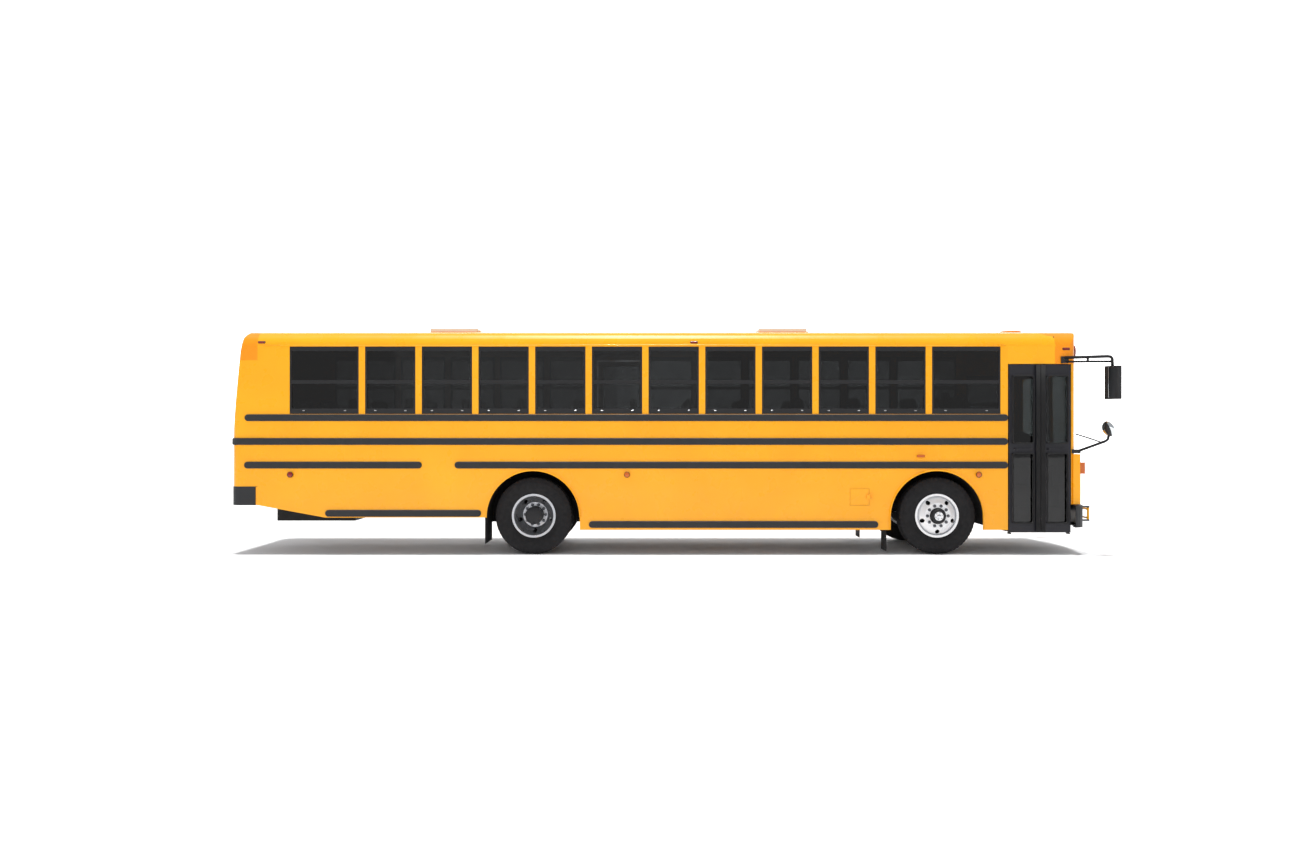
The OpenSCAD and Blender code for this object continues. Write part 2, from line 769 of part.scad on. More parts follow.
// Cross sills between the rails and the floor
module floor_sills() {
    color("#26262a") difference() {
        for (i = [0:sill_n - 1]) let (x = rear_x + 420 + i * (front_x - rear_x - 640) / (sill_n - 1))
            span([x - 30, -iw, sill_z], [x + 30, iw, floor_z]);
        both() span([rear_axle_x - arch_r - housing_t, rear_in_y, sill_z - 1],
            [rear_axle_x + arch_r + housing_t, iw + 1, floor_z + 1]);
        both() span([front_arch_x - arch_r - housing_t, front_in_y, sill_z - 1],
            [front_arch_x + arch_r + housing_t, iw + 1, floor_z + 1]);
        span([well_x0, -iw - 1, sill_z - 1], [well_x1, well_y, floor_z + 1]);
    }
}
module floor_plate() {
    color("#2e3133") difference() {
        intersection() {
            envelope(wall_t);
            span([rear_x, -hw, floor_z], [nose_x, hw, floor_h]);
        }
        span([well_x0, -hw - 1, floor_z - 1], [well_x1, well_y, floor_h + 1]);
        for (x = [well_x0, well_x1]) span([x, -hw - 1, floor_z - 1], [x + 0.4, hw + 1, floor_h + 1]);
        both() bar_at(rear_axle_x, arch_z, arch_r + 15, rear_in_y - 3, hw);
        both() bar_at(front_arch_x, arch_z, arch_r + 15, front_in_y - 3, hw);
    }
}
module step_well() {
    color("#3a3c3e") {
        intersection() {
            envelope(wall_t);
            difference() {
                span([well_x0, -hw + 55, 320], [well_x1, well_y, floor_z]);
                for (i = [0:2]) span([door_x0, i == 0 ? -hw : steps[i - 1][1], steps[i][0]],
                    [door_x1, steps[i][1] - (i == 2 ? 20 : 0), floor_h]);
                for (i = [0:2]) span([door_x0, (i == 0 ? -hw + 75 : steps[i - 1][1] + 20), 0],
                    [door_x1, steps[i][1] - (i == 2 ? 20 : 0) + (i == 2 ? 0 : 1), steps[i][0] - 20]);
                span([door_x0, steps[0][1] + 20, 0], [door_x1, well_y - 20, steps[1][0] - 20]);
                span([door_x0, steps[1][1] + 20, 0], [door_x1, well_y - 20, steps[2][0] - 20]);
            }
        }
        intersection() {
            span([door_x0, well_y - 20, floor_z - 1], [door_x1, well_y, floor_h]);
            envelope(wall_t);
        }
        for (x = leaf_axes) {
            span([x - 16, -hw, 284], [x + 16, -hw + 90, 300]);
            span([x - 16, -hw + 55, 284], [x + 16, -hw + 75, 340]);
            translate([x, leaf_y, 290]) cylinder(r = 8, h = 44);
        }
    }
}
module housing2d(r) {
    intersection() {
        circle(r = r, $fn = 96);
        translate([-r, 0]) square([2 * r, r]);
    }
}
module housing(x, y0) {
    difference() {
        union() {
            along_y(y0, iw) translate([x, arch_z]) {
                housing2d(arch_r + housing_t);
                translate([-arch_r - housing_t, -110]) square([2 * (arch_r + housing_t), 111]);
            }
            along_y(iw - 1, hw - skirt_t) intersection() {
                translate([x, arch_z]) {
                    housing2d(arch_r + housing_t);
                    translate([-arch_r - housing_t, -110]) square([2 * (arch_r + housing_t), 111]);
                }
                translate([x - 900, 0]) square([1800, seam_h]);
            }
        }
        arch_space(x, y0 + housing_t, hw + 1);
        span([x - 560, y0 - 1, 0], [x + 560, y0 + housing_t + 1, rail_z + 30]);
        span([x - 900, y0 - 1, floor_z], [x + 900, y0 + housing_t, floor_h]);
    }
}
module wheel_housings() {
    color("#17171a") both() {
        housing(rear_axle_x, rear_in_y);
        housing(front_arch_x, front_in_y);
    }
}
module engine() {
    color("#4a4c50") {
        span([rear_x + 350, -320, 400], [rear_x + 1480, 320, 960]);
        both() for (x = [450, 1250]) span([rear_x + x, 319, 708], [rear_x + x + 120, rail_y - 8, 770]);
        translate([0, 0, 600]) bar_x(170, rear_x + 1479, rear_x + 2050, $fn = 64);
    }
}
module fuel_tank() {
    color("#222226") span([tank_x0, skirt_t + 50 - hw, 450], [tank_x1, -470, sill_z]);
}
module battery_box() {
    color("#222226") span([tank_x0, 600, 500],
        [tank_x0 + 620, hw - skirt_t - 50, sill_z]);
}
// Leaf spring with its two hangers, under a frame rail
module leaf_spring(x, l, z) {
    along_y(rail_y - 76, rail_y - 4) difference() {
        union() {
            polygon([for (i = [-8:8]) [x + i * l / 16, z + 110 * i * i / 64],
                for (i = [8:-1:-8]) [x + i * l / 16, z + 56 + 84 * i * i / 64]]);
            translate([x - l / 2 - 18, z + 100]) square([50, rail_z - z - 100]);
            translate([x + l / 2 - 32, z + 100]) square([50, rail_z - z - 100]);
        }
        translate([x - l, rail_z]) square([2 * l, 200]);
    }
}
module front_axle() {
    color("#232326") {
        both() leaf_spring(front_axle_x, 1300, axle_z);
        both() difference() {
            translate([front_axle_x, kingpin_y, pin_z + 50]) cylinder(r = 46, h = 120);
            translate([front_axle_x, kingpin_y, pin_z + 40]) cylinder(r = 20.05, h = 140);
        }
        both() difference() {
            along_x(front_axle_x - 45, front_axle_x + 45)
                translate([0, pin_z]) polygon([[0, -20], [560, -20], [700, 70],
                    [kingpin_y - 30, 70], [kingpin_y - 30, 155], [660, 155], [530, 111], [0, 111]]);
            translate([front_axle_x, kingpin_y, pin_z + 40]) cylinder(r = 30, h = 140);
        }
    }
}
module rear_axle() {
    color("#232326") {
        both() leaf_spring(rear_axle_x, 1400, axle_z + 74);
        bar_at(rear_axle_x, axle_z, 76, -520, 520);
        bar_at(rear_axle_x, axle_z, 45, -1090, 1090);
        translate([rear_axle_x, 0, axle_z]) rotate([90, 0, 0]) cylinder(r = 205, h = 230, center = true);
        translate([0, 0, axle_z]) bar_x(90, rear_axle_x - 420, rear_axle_x);
        translate([0, 0, axle_z]) bar_x(46, rear_x + 2050, rear_axle_x - 419);
    }
}
// Steering knuckle; the arm points back
module knuckle() {
    translate([front_axle_x, kingpin_y, pin_z]) {
        cylinder(r = 20, h = 220);
        difference() {
            union() {
                for (z = [0, 172]) translate([0, 0, z]) {
                    cylinder(r = 44, h = 48);
                    translate([-40, 0, 0]) cube([80, 84, 48]);
                }
                translate([-40, 52, 1]) cube([80, 32, 218]);
            }
            translate([0, 0, -20]) cylinder(r = 19, h = 300);
        }
        translate([0, 0, 110]) bar_y(35, 80, 300);
        span([tie_x, -18, 4], [-20, 18, 32]);
        translate([tie_x, 0, 4]) cylinder(r = 26, h = 28);
        translate([tie_x, 0, 10]) cylinder(r = 10, h = 60);
    }
}
module left_knuckle() {
    color("#2c2c30") knuckle();
}
module right_knuckle() {
    color("#2c2c30") mirror([0, 1, 0]) knuckle();
}
module tie_rod() {
    color("#2c2c30") translate([front_axle_x + tie_x, 0, pin_z + 50]) {
        difference() {
            union() {
                bar_y(14, -kingpin_y + 20, kingpin_y - 20);
                translate([0, kingpin_y, -14]) cylinder(r = 24, h = 28);
                translate([0, -kingpin_y, -14]) cylinder(r = 26, h = 28);
            }
            translate([0, kingpin_y, -20]) cylinder(r = 10.06, h = 40);
            translate([0, -kingpin_y, -20]) cylinder(r = 15, h = 40);
        }
    }
}
// Tyre about the Y axis, centred on y
module tyre(y) {
    s = tyre_w / 2;
    o = tyre_d / 2;
    translate([0, y, 0]) rotate([-90, 0, 0]) rotate_extrude($fn = 96)
        polygon([[bead_r + 0.3, -103.5], [bead_r + 18, -103.5], [bead_r + 36, -s + 20],
            [bead_r + 76, -s + 4], [o - 130, -s], [o - 50, -s + 6],
            [o - 14, -s + 18], [o, -s + 34], [o, s - 34], [o - 14, s - 18], [o - 50, s - 6],
            [o - 130, s], [bead_r + 76, s - 4], [bead_r + 36, s - 20],
            [bead_r + 18, 103.5], [bead_r + 0.3, 103.5],
            [bead_r + 0.3, 86], [bead_r + 24, 88], [o - 120, s - 22], [o - 40, s - 34],
            [o - 26, s - 60], [o - 26, 60 - s], [o - 40, 34 - s], [o - 120, 22 - s],
            [bead_r + 24, -88], [bead_r + 0.3, -86]]);
}
// Rim with its disc about the Y axis, disc face at y = d
module rim(y, d) {
    k = sign(d - y);
    translate([0, y, 0]) rotate([-90, 0, 0]) difference() {
        union() {
            rotate_extrude($fn = 96) polygon([[bead_r - 14, -112], [bead_r + 16, -112],
                [bead_r + 16, -103.8], [bead_r, -103.8], [bead_r, 103.8], [bead_r + 16, 103.8],
                [bead_r + 16, 112], [bead_r - 14, 112]]);
            mirror([0, 0, k < 0 ? 1 : 0]) rotate_extrude($fn = 96) {
                h = abs(d - y);
                polygon([[88, h - 12], [172, h - 12], [bead_r - 58, h - 62], [bead_r - 14.5, 20],
                    [bead_r - 13, 20], [bead_r - 13, 38], [bead_r - 44, h - 48], [178, h], [88, h]]);
            }
        }
        for (i = [0:4]) rotate([0, 0, i * 72 + 18]) translate([218, 0, -400]) cylinder(r = 30, h = 800);
    }
}
module front_tyre() {
    translate([front_axle_x, 0, axle_z]) tyre(half_track);
}
module front_rim() {
    translate([front_axle_x, 0, axle_z]) {
        rim(half_track, half_track + 158);
        rotate([-90, 0, 0]) difference() {
            union() {
                translate([0, 0, 985]) cylinder(r = 80, h = 260);
                translate([0, 0, half_track + 120]) cylinder(r = 165, h = 26);
                translate([0, 0, 975]) cylinder(r = 205, h = 90, $fn = 64);
            }
            translate([0, 0, 950]) cylinder(r = 35.05, h = 226);
        }
        translate([0, 0, 0]) bar_y(60, 1244, 1262);
    }
}
module rear_tyres() {
    translate([rear_axle_x, 0, axle_z]) {
        tyre(half_track);
        tyre(inner_track);
    }
}
module rear_rims() {
    mid = (half_track + inner_track) / 2;
    translate([rear_axle_x, 0, axle_z]) {
        rim(half_track, mid + 6);
        rim(inner_track, mid - 6);
        rotate([-90, 0, 0]) difference() {
            union() {
                translate([0, 0, 560]) cylinder(r = 205, h = 180, $fn = 64);
                translate([0, 0, 600]) cylinder(r = 84, h = 505);
                translate([0, 0, mid - 18]) cylinder(r = 150, h = 36);
                translate([0, 0, mid]) cylinder(r = 110, h = 222);
            }
            translate([0, 0, 540]) cylinder(r = 45.06, h = 552);
        }
    }
}
module front_left_tyre() {
    color("#2a2a2d") front_tyre();
}
module front_right_tyre() {
    color("#2a2a2d") mirror([0, 1, 0]) front_tyre();
}
module front_left_rim() {
    color("#c9ccd0") front_rim();
}
module front_right_rim() {
    color("#c9ccd0") mirror([0, 1, 0]) front_rim();
}
module rear_left_tyres() {
    color("#2a2a2d") rear_tyres();
}
module rear_right_tyres() {
    color("#2a2a2d") mirror([0, 1, 0]) rear_tyres();
}
module rear_left_rims() {
    color("#b4b6ba") rear_rims();
}
module rear_right_rims() {
    color("#b4b6ba") mirror([0, 1, 0]) rear_rims();
}

// Places of the benches: children are drawn at the rear of each bench
module at_benches() {
    for (i = [0:row_n - 1]) let (x = seat_x0 + i * seat_pitch) {
        translate([x, 0, floor_h]) mirror([0, 1, 0]) children();
        if (x + 560 < edoor_x0 || x > edoor_x1) translate([x, 0, floor_h]) children();
    }
}
module seat_frames() {
    color("#3c3f44") {
        at_benches() {
            span([90, aisle_y + 30, seat_h - 140], [130, iw, seat_h - 110]);
            span([400, aisle_y + 30, seat_h - 140], [440, iw, seat_h - 110]);
            span([90, aisle_y + 30, 0], [440, aisle_y + 60, seat_h - 110]);
            for (y = [aisle_y + 60, iw - 60])
                span([50, y, seat_h - 140], [90, y + 30, seat_h - 30]);
        }
        for (s = [-1, 1]) for (y = [aisle_y + 30, iw - 90]) span([barrier_x, s > 0 ? y : -y - 30,
            floor_h], [barrier_x + 40, s > 0 ? y + 30 : -y, floor_h + 300]);
        translate([wheel_at[0] - 560, wheel_at[1], floor_h]) {
            cylinder(r = 150, h = 20);
            cylinder(r = 60, h = 250);
            span([-180, -180, 250], [200, 180, 262]);
        }
    }
}
module seat_cushions() {
    color("#2b3a4a") {
        at_benches() {
            span([95, aisle_y + 10, seat_h - 110], [500, iw - 4, seat_h]);
            along_y(aisle_y + 10, iw - 4)
                polygon([[10, seat_h - 30], [92, seat_h - 30], [60, back_h], [-50, back_h]]);
        }
        for (s = [-1, 1]) span([barrier_x - 20, s > 0 ? aisle_y + 10 : 4 - iw, floor_h + 300],
            [barrier_x + 60, s > 0 ? iw - 4 : -aisle_y - 10, floor_h + 1000]);
    }
}
module driver_seat() {
    color("#26282c") translate([wheel_at[0] - 560, wheel_at[1], floor_h]) {
        span([-200, -240, 262], [260, 240, 380]);
        along_y(-230, 230) polygon([[-200, 380], [-90, 380], [-170, 1080], [-260, 1080]]);
    }
}
module dashboard() {
    color("#1f2022") {
        intersection() {
            envelope(wall_t);
            union() {
                along_y(80, iw) polygon([[nose_x, floor_h], [front_x - 215, floor_h],
                    [front_x - 245, floor_h + 250], [front_x - 415, floor_h + 360],
                    [front_x - 425, floor_h + 450], [front_x - 335, floor_h + 490],
                    [nose_x, floor_h + 298]]);
                along_y(-iw, 80) polygon([[nose_x, floor_h], [front_x - 45, floor_h],
                    [front_x - 60, floor_h + 280], [nose_x, floor_h + 298]]);
            }
        }
        translate(wheel_at) rotate([0, 180 - wheel_tilt, 0]) {
            translate([0, 0, 40]) cylinder(r = 36, h = 260);
            translate([0, 0, -14]) cylinder(r = 12, h = 60);
        }
    }
}
module steering_wheel() {
    color("#141416") translate(wheel_at) rotate([0, -wheel_tilt, 0]) difference() {
        union() {
            rotate_extrude($fn = 64) translate([225, 0]) circle(r = 15, $fn = 24);
            for (a = [0, 120, 240]) rotate([0, 0, a]) translate([20, -14, -8]) cube([192, 28, 12]);
            translate([0, 0, -18]) cylinder(r = 42, h = 40);
        }
        translate([0, 0, -19]) cylinder(r = 12.06, h = 34);
    }
}
module mirrors() {
    color("#1a1a1d") both() {
        difference() {
            span([front_x - 215, -hw - 30, door_top + 8], [front_x - 115, -hw, door_top + 100]);
            translate([front_x - 165, 0, door_top + 54]) bar_y(8, -hw - 31, -hw + 1);
        }
        rod([front_x - 150, -hw - 18, door_top + 84], arm_end, 11);
        rod(arm_end, mirror_at + [0, 0, mirror_h / 2 - 10], 10);
        rod([front_x - 150, -hw - 18, door_top + 28], mirror_at + [-8, 6, mirror_h / 2 + 60], 8);
        translate(mirror_at) rotate([0, 0, 30]) translate([0, 0, -mirror_h / 2])
            linear_extrude(mirror_h) offset(r = 34, $fn = 32) square([12, 182], center = true);
        difference() {
            span([front_x - 62, -hw, fascia_top + 12], [front_x + 60, -hw + 60, fascia_top + 66]);
            envelope(0);
        }
        rod([front_x + 35, -hw + 22, fascia_top + 40], cross_end, 11);
        rod(cross_end, cross_mirror_at + [12, 8, 0], 10);
        translate(cross_mirror_at) rotate([0, -110, -25]) rotate_extrude($fn = 48)
            polygon(concat([[0, -6], [110, -6]],
                [for (a = [0:10:80]) [110 * cos(a), 62 * sin(a)]], [[0, 62 * sin(80)]]));
    }
}
module road_lamps() {
    color("#d9dde2") {
        both() for (y = [640, 880]) difference() {
            translate([0, y, 900]) bar_x(92, front_x, nose_cx + sqrt(pow(nose_r + 85, 2) - y * y) + 22);
            envelope(-85);
        }
        both() for (y = [960, 760]) translate([0, y, 1250]) bar_x(92, rear_x - 22, rear_x);
        both() translate([0, 960, 1030]) bar_x(62, rear_x - 20, rear_x);
    }
}
module turn_lamps() {
    color("#e8860c") {
        both() difference() {
            span([front_x - 30, 1010, 1112], [front_x + 122, hw - 8, 1268]);
            envelope(-85);
        }
        both() translate([0, 760, 1030]) bar_x(62, rear_x - 20, rear_x);
    }
}
module warning_lamps() {
    color("#c8401e") {
        both() for (y = [560, 800]) {
            difference() {
                translate([0, y, roof_h - 310]) bar_x(96, nose_x - 260, nose_x + 20);
                envelope(0);
            }
            difference() {
                translate([0, y, roof_h - 310]) bar_x(96, rear_x + 70, rear_x + 300);
                envelope(0);
            }
        }
    }
}
module arm_bases() {
    color("#202024") {
        for (z = [1372, 1706]) span([stop_x - 24, hw, z], [stop_x + 24, hw + 66, z + 26]);
        translate([stop_x, hw + 44, 1380]) cylinder(r = 10, h = 340);
        span([stop_x + 14, hw, 1398], [stop_x + 24, hw + 14, 1500]);
        difference() {
            for (z = [452, 638]) span([nose_x - 60, cross_at[1] - 16, z],
                [cross_at[0] + 14, cross_at[1] + 16, z + 22]);
            envelope(-112);
        }
        translate([cross_at[0], cross_at[1], 460]) cylinder(r = 9, h = 194);
    }
}
module stop_arm() {
    color("#b3161b") {
        difference() {
            union() {
                translate([stop_x, hw + 44, 1400]) cylinder(r = 17, h = 304);
                span([stop_x - 60, hw + 40, 1480], [stop_x, hw + 48, 1620]);
                translate([stop_x - 40 - stop_w / 2, hw + 47, 1551]) rotate([90, 0, 0])
                    rotate([0, 0, 22.5]) cylinder(r = stop_w / 2 / cos(22.5), h = 6, $fn = 8);
            }
            translate([stop_x, hw + 44, 1380]) cylinder(r = 10.06, h = 340);
        }
    }
}
module crossing_arm() {
    color("#e0a020") translate([cross_at[0], cross_at[1], 0]) {
        difference() {
            union() {
                translate([0, 0, 476]) cylinder(r = 17, h = 160);
                for (z = [495, 617]) translate([0, 0, z]) bar_y(12, 8, cross_l);
                translate([0, cross_l - 12, 495]) cylinder(r = 12, h = 122);
                translate([0, cross_l / 2, 495]) cylinder(r = 10, h = 122);
            }
            translate([0, 0, 470]) cylinder(r = 9.06, h = 180);
        }
    }
}
module mud_flaps() {
    color("#18181a") both() {
        span([front_axle_x - 722, 880, 50], [front_axle_x - 712, hw - 5, skirt_low]);
        translate([rear_axle_x - arch_r - housing_t, 0, 0])
            span([-10, 540, 150], [0, hw - 5, rear_skirt_low]);
    }
}

left_side_wall();
right_side_wall();
left_skirt();
right_skirt();
roof();
roof_caps();
rear_wall();
front_panel();
front_fascia();
windscreen();
window_frames();
window_glass();
rub_rails();
front_bumper();
rear_bumper();
frame_rails();
floor_sills();
floor_plate();
step_well();
wheel_housings();
engine();
fuel_tank();
battery_box();
front_axle();
rear_axle();
mud_flaps();
seat_frames();
seat_cushions();
driver_seat();
dashboard();
mirrors();
road_lamps();
turn_lamps();
warning_lamps();
arm_bases();
emergency_door();
emergency_door_glass();
front_door_leaf();
front_door_glass();
rear_door_leaf();
rear_door_glass();
front_roof_hatch();
rear_roof_hatch();
engine_door();
fuel_door();
stop_arm();
crossing_arm();
steering_wheel();
left_knuckle();
right_knuckle();
tie_rod();
front_left_tyre();
front_left_rim();
front_right_tyre();
front_right_rim();
rear_left_tyres();
rear_left_rims();
rear_right_tyres();
rear_right_rims();
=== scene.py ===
"""Looks of the school bus: paint, glass, tyres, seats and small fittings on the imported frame."""

import math

import bpy
import numpy as np
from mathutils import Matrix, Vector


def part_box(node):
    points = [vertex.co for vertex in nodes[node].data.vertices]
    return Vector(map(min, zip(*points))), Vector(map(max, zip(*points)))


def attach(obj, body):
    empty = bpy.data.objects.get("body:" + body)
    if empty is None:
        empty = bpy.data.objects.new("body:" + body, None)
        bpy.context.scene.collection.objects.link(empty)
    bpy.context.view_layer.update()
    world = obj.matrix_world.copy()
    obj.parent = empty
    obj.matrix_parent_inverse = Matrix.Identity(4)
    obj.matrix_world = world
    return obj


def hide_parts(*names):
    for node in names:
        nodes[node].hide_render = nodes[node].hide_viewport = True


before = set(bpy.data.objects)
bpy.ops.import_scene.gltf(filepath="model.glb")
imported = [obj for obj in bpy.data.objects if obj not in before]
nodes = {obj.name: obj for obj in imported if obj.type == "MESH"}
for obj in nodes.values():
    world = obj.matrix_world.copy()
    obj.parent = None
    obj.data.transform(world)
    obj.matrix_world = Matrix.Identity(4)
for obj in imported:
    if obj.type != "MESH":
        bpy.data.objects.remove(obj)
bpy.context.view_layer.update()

# ---------------------------------------------------------------------------
# Stand, light and camera.
# A pale seamless floor under soft studio panels. The camera stands square to
# the entrance side, a little over half the height of the bus.

EYE = (-0.305, -17.72, 1.712)
LENS_MM = 33.3

camera = bpy.data.objects.new("camera", bpy.data.cameras.new("camera"))
bpy.context.scene.collection.objects.link(camera)
camera.location = EYE
camera.rotation_euler = (math.radians(90), 0, 0)
camera.data.lens = LENS_MM
camera.data.sensor_width = 36
bpy.context.scene.camera = camera
bpy.context.scene.view_settings.view_transform = "Standard"


def linear(hex_colour):
    """sRGB hex to linear RGBA: each channel c goes to ((c + 0.055) / 1.055) ** 2.4."""
    parts = [int(hex_colour[i : i + 2], 16) / 255 for i in (1, 3, 5)]
    return (*[p / 12.92 if p <= 0.04045 else ((p + 0.055) / 1.055) ** 2.4 for p in parts], 1)


def add(tree, kind, links=(), **settings):
    """Adds one node. A setting named by a socket fills it, any other is a property; links
    are pairs of a socket's name or number and the output that feeds it."""
    made = tree.nodes.new(kind)
    sockets = {s.name.replace(" ", "_"): s for s in reversed(made.inputs)}
    for name, value in settings.items():
        if name in sockets:
            sockets[name].default_value = value
        else:
            setattr(made, name, value)
    for name, output in links:
        tree.links.new(made.inputs[name], output)
    return made


def calc(tree, operation, *values):
    """One Math node: each value is a number or the output that feeds it."""
    made = add(tree, "ShaderNodeMath", operation=operation)
    for socket, value in zip(made.inputs, values):
        if isinstance(value, float):
            socket.default_value = value
        else:
            tree.links.new(socket, value)
    return made.outputs[0]


def new_material(name, colour, **settings):
    """A material with a principled shader; returns it, its tree and the shader."""
    made = bpy.data.materials.new(name)
    made.use_nodes = True
    shader = made.node_tree.nodes["Principled BSDF"]
    shader.inputs["Base Color"].default_value = linear(colour)
    for key, value in settings.items():
        shader.inputs[key.replace("_", " ")].default_value = value
    return made, made.node_tree, shader


def object_noise(tree, size_m, detail=3.0, stretch=(1, 1, 1)):
    """Noise in object space whose lumps are about size_m across."""
    place = add(tree, "ShaderNodeTexCoord")
    fit = add(tree, "ShaderNodeMapping", [("Vector", place.outputs["Object"])], Scale=stretch)
    return add(tree, "ShaderNodeTexNoise", [("Vector", fit.outputs[0])], Scale=1 / size_m,
               Detail=detail).outputs["Fac"]


def ramp(tree, fac, low, high, a, b):
    """A two-stop ramp from colour a at low to colour b at high."""
    made = add(tree, "ShaderNodeValToRGB", [("Fac", fac)])
    for stop, at, colour in zip(made.color_ramp.elements, (low, high), (a, b)):
        stop.position, stop.color = at, colour
    return made.outputs["Color"]


def grey(value):
    return (value, value, value, 1)


def bump(tree, shader, height, depth_m, strength=1.0):
    """Turns a height into a normal, depth_m deep at full height."""
    made = add(tree, "ShaderNodeBump", [("Height", height)], Distance=depth_m, Strength=strength)
    tree.links.new(shader.inputs["Normal"], made.outputs[0])


floor_material, tree, shader = new_material("studio_floor", "#f4f4f5", Roughness=0.85)
lumps = object_noise(tree, 1.2)
tree.links.new(shader.inputs["Base Color"],
               ramp(tree, lumps, 0.3, 0.7, linear("#f1f1f2"), linear("#f6f6f7")))


def stage_sheet(name, corners, material):
    """A flat sheet of the stand, through four corners."""
    mesh = bpy.data.meshes.new(name)
    mesh.from_pydata(corners, [], [(0, 1, 2, 3)])
    mesh.materials.append(material)
    made = bpy.data.objects.new(name, mesh)
    bpy.context.scene.collection.objects.link(made)


stage_sheet("studio_floor", [(-90, -60, 0), (90, -60, 0), (90, 60, 0), (-90, 60, 0)],
            floor_material)

# A lit white sheet hangs far behind the bus.
sheet_material, tree, shader = new_material("lit_backdrop", "#ffffff", Roughness=1.0)
tree.links.new(shader.inputs["Emission Color"],
               ramp(tree, object_noise(tree, 20), 0.0, 1.0, linear("#fbfbfb"), linear("#ffffff")))
shader.inputs["Emission Strength"].default_value = 1.0
stage_sheet("backdrop", [(-60, 58, -1), (60, 58, -1), (60, 58, 40), (-60, 58, 40)],
            sheet_material)

overhead = bpy.data.lights.new("overhead_sun", "SUN")
overhead.energy, overhead.angle = 2.9, math.radians(7)
overhead_lamp = bpy.data.objects.new("overhead_sun", overhead)
overhead_lamp.rotation_euler = (math.radians(2), 0, 0)
bpy.context.scene.collection.objects.link(overhead_lamp)


def panel_light(name, place, aim, size, watts):
    """A square soft light at place that looks at aim."""
    data = bpy.data.lights.new(name, "AREA")
    data.shape, data.size, data.energy = "SQUARE", size, watts
    made = bpy.data.objects.new(name, data)
    made.location = place
    way = np.array(aim) - np.array(place)
    made.rotation_euler = (math.acos(-way[2] / np.linalg.norm(way)), 0,
                           math.atan2(way[1], way[0]) - math.pi / 2)
    made.visible_glossy = False
    bpy.context.scene.collection.objects.link(made)


panel_light("front_panel_light", (-3, -19, 5), (0, 0, 1.4), 9, 820)
panel_light("back_panel_light", (3, 17, 6), (0, 0, 1.5), 9, 700)

world = bpy.data.worlds.new("studio")
bpy.context.scene.world = world
world.use_nodes = True
world.node_tree.nodes["Background"].inputs["Color"].default_value = linear("#fbfbfc")
world.node_tree.nodes["Background"].inputs["Strength"].default_value = 0.5


def dress(material, *names):
    """Gives CAD nodes one material."""
    for name in names:
        slots = nodes[name].data.materials
        slots.clear()
        slots.append(material)


def mesh_piece(name, points, faces, material, body="root", smooth=True):
    """A piece from an (n, 3) array of points and an (m, 4) array of quads, riding on body;
    a quad whose last two corners are one point is a triangle."""
    data = bpy.data.meshes.new(name)
    points, faces = np.asarray(points, float), np.asarray(faces, int)
    used = np.ones(faces.shape, bool)
    used[:, -1] = faces[:, -1] != faces[:, -2]
    sides = used.sum(1)
    data.vertices.add(len(points))
    data.vertices.foreach_set("co", points.ravel())
    data.loops.add(int(sides.sum()))
    data.loops.foreach_set("vertex_index", faces[used])
    data.polygons.add(len(faces))
    data.polygons.foreach_set("loop_start", np.cumsum(sides) - sides)
    data.update(calc_edges=True)
    data.validate()
    data.shade_smooth() if smooth else data.shade_flat()
    data.materials.append(material)
    made = bpy.data.objects.new(name, data)
    bpy.context.scene.collection.objects.link(made)
    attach(made, body)
    return made


def grid_faces(rows, columns, wrap=False):
    """Quads of a grid of rows by columns points; wrap closes each row on itself."""
    r, c = np.meshgrid(np.arange(rows - 1), np.arange(columns if wrap else columns - 1),
                       indexing="ij")
    a, b = r * columns + c, r * columns + (c + 1) % columns
    return np.stack([a, b, b + columns, a + columns], -1).reshape(-1, 4)


def turned(profile, count=64):
    """Points of a profile of (radius, along) pairs turned about Y: x = r cos t, z = r sin t."""
    profile = np.asarray(profile, float)
    t = np.linspace(0, 2 * np.pi, count, endpoint=False)
    r, y = profile[:, :1], np.repeat(profile[:, 1:2], count, 1)
    points = np.stack([r * np.cos(t), y, r * np.sin(t)], -1).reshape(-1, 3)
    return points, grid_faces(len(profile), count, True)


def joined(parts):
    """One array of points and one of faces from a list of (points, faces)."""
    steps = np.cumsum([0] + [len(p) for p, f in parts[:-1]])
    return (np.concatenate([p for p, f in parts]),
            np.concatenate([f + s for (p, f), s in zip(parts, steps)]))


# ---------------------------------------------------------------------------
# Body panels.
# Pressed steel sheet on ribs, primed and sprayed with gloss two-pack enamel in
# the usual yellow; the moulded end caps came out a shade more orange.

BODY_YELLOW = "#ffb113"
CAP_YELLOW = "#ff9a0e"
CAP_LINE_X = 5.25
BEAD_HALF = 0.007
BEAD_LOW_Z = 2.98


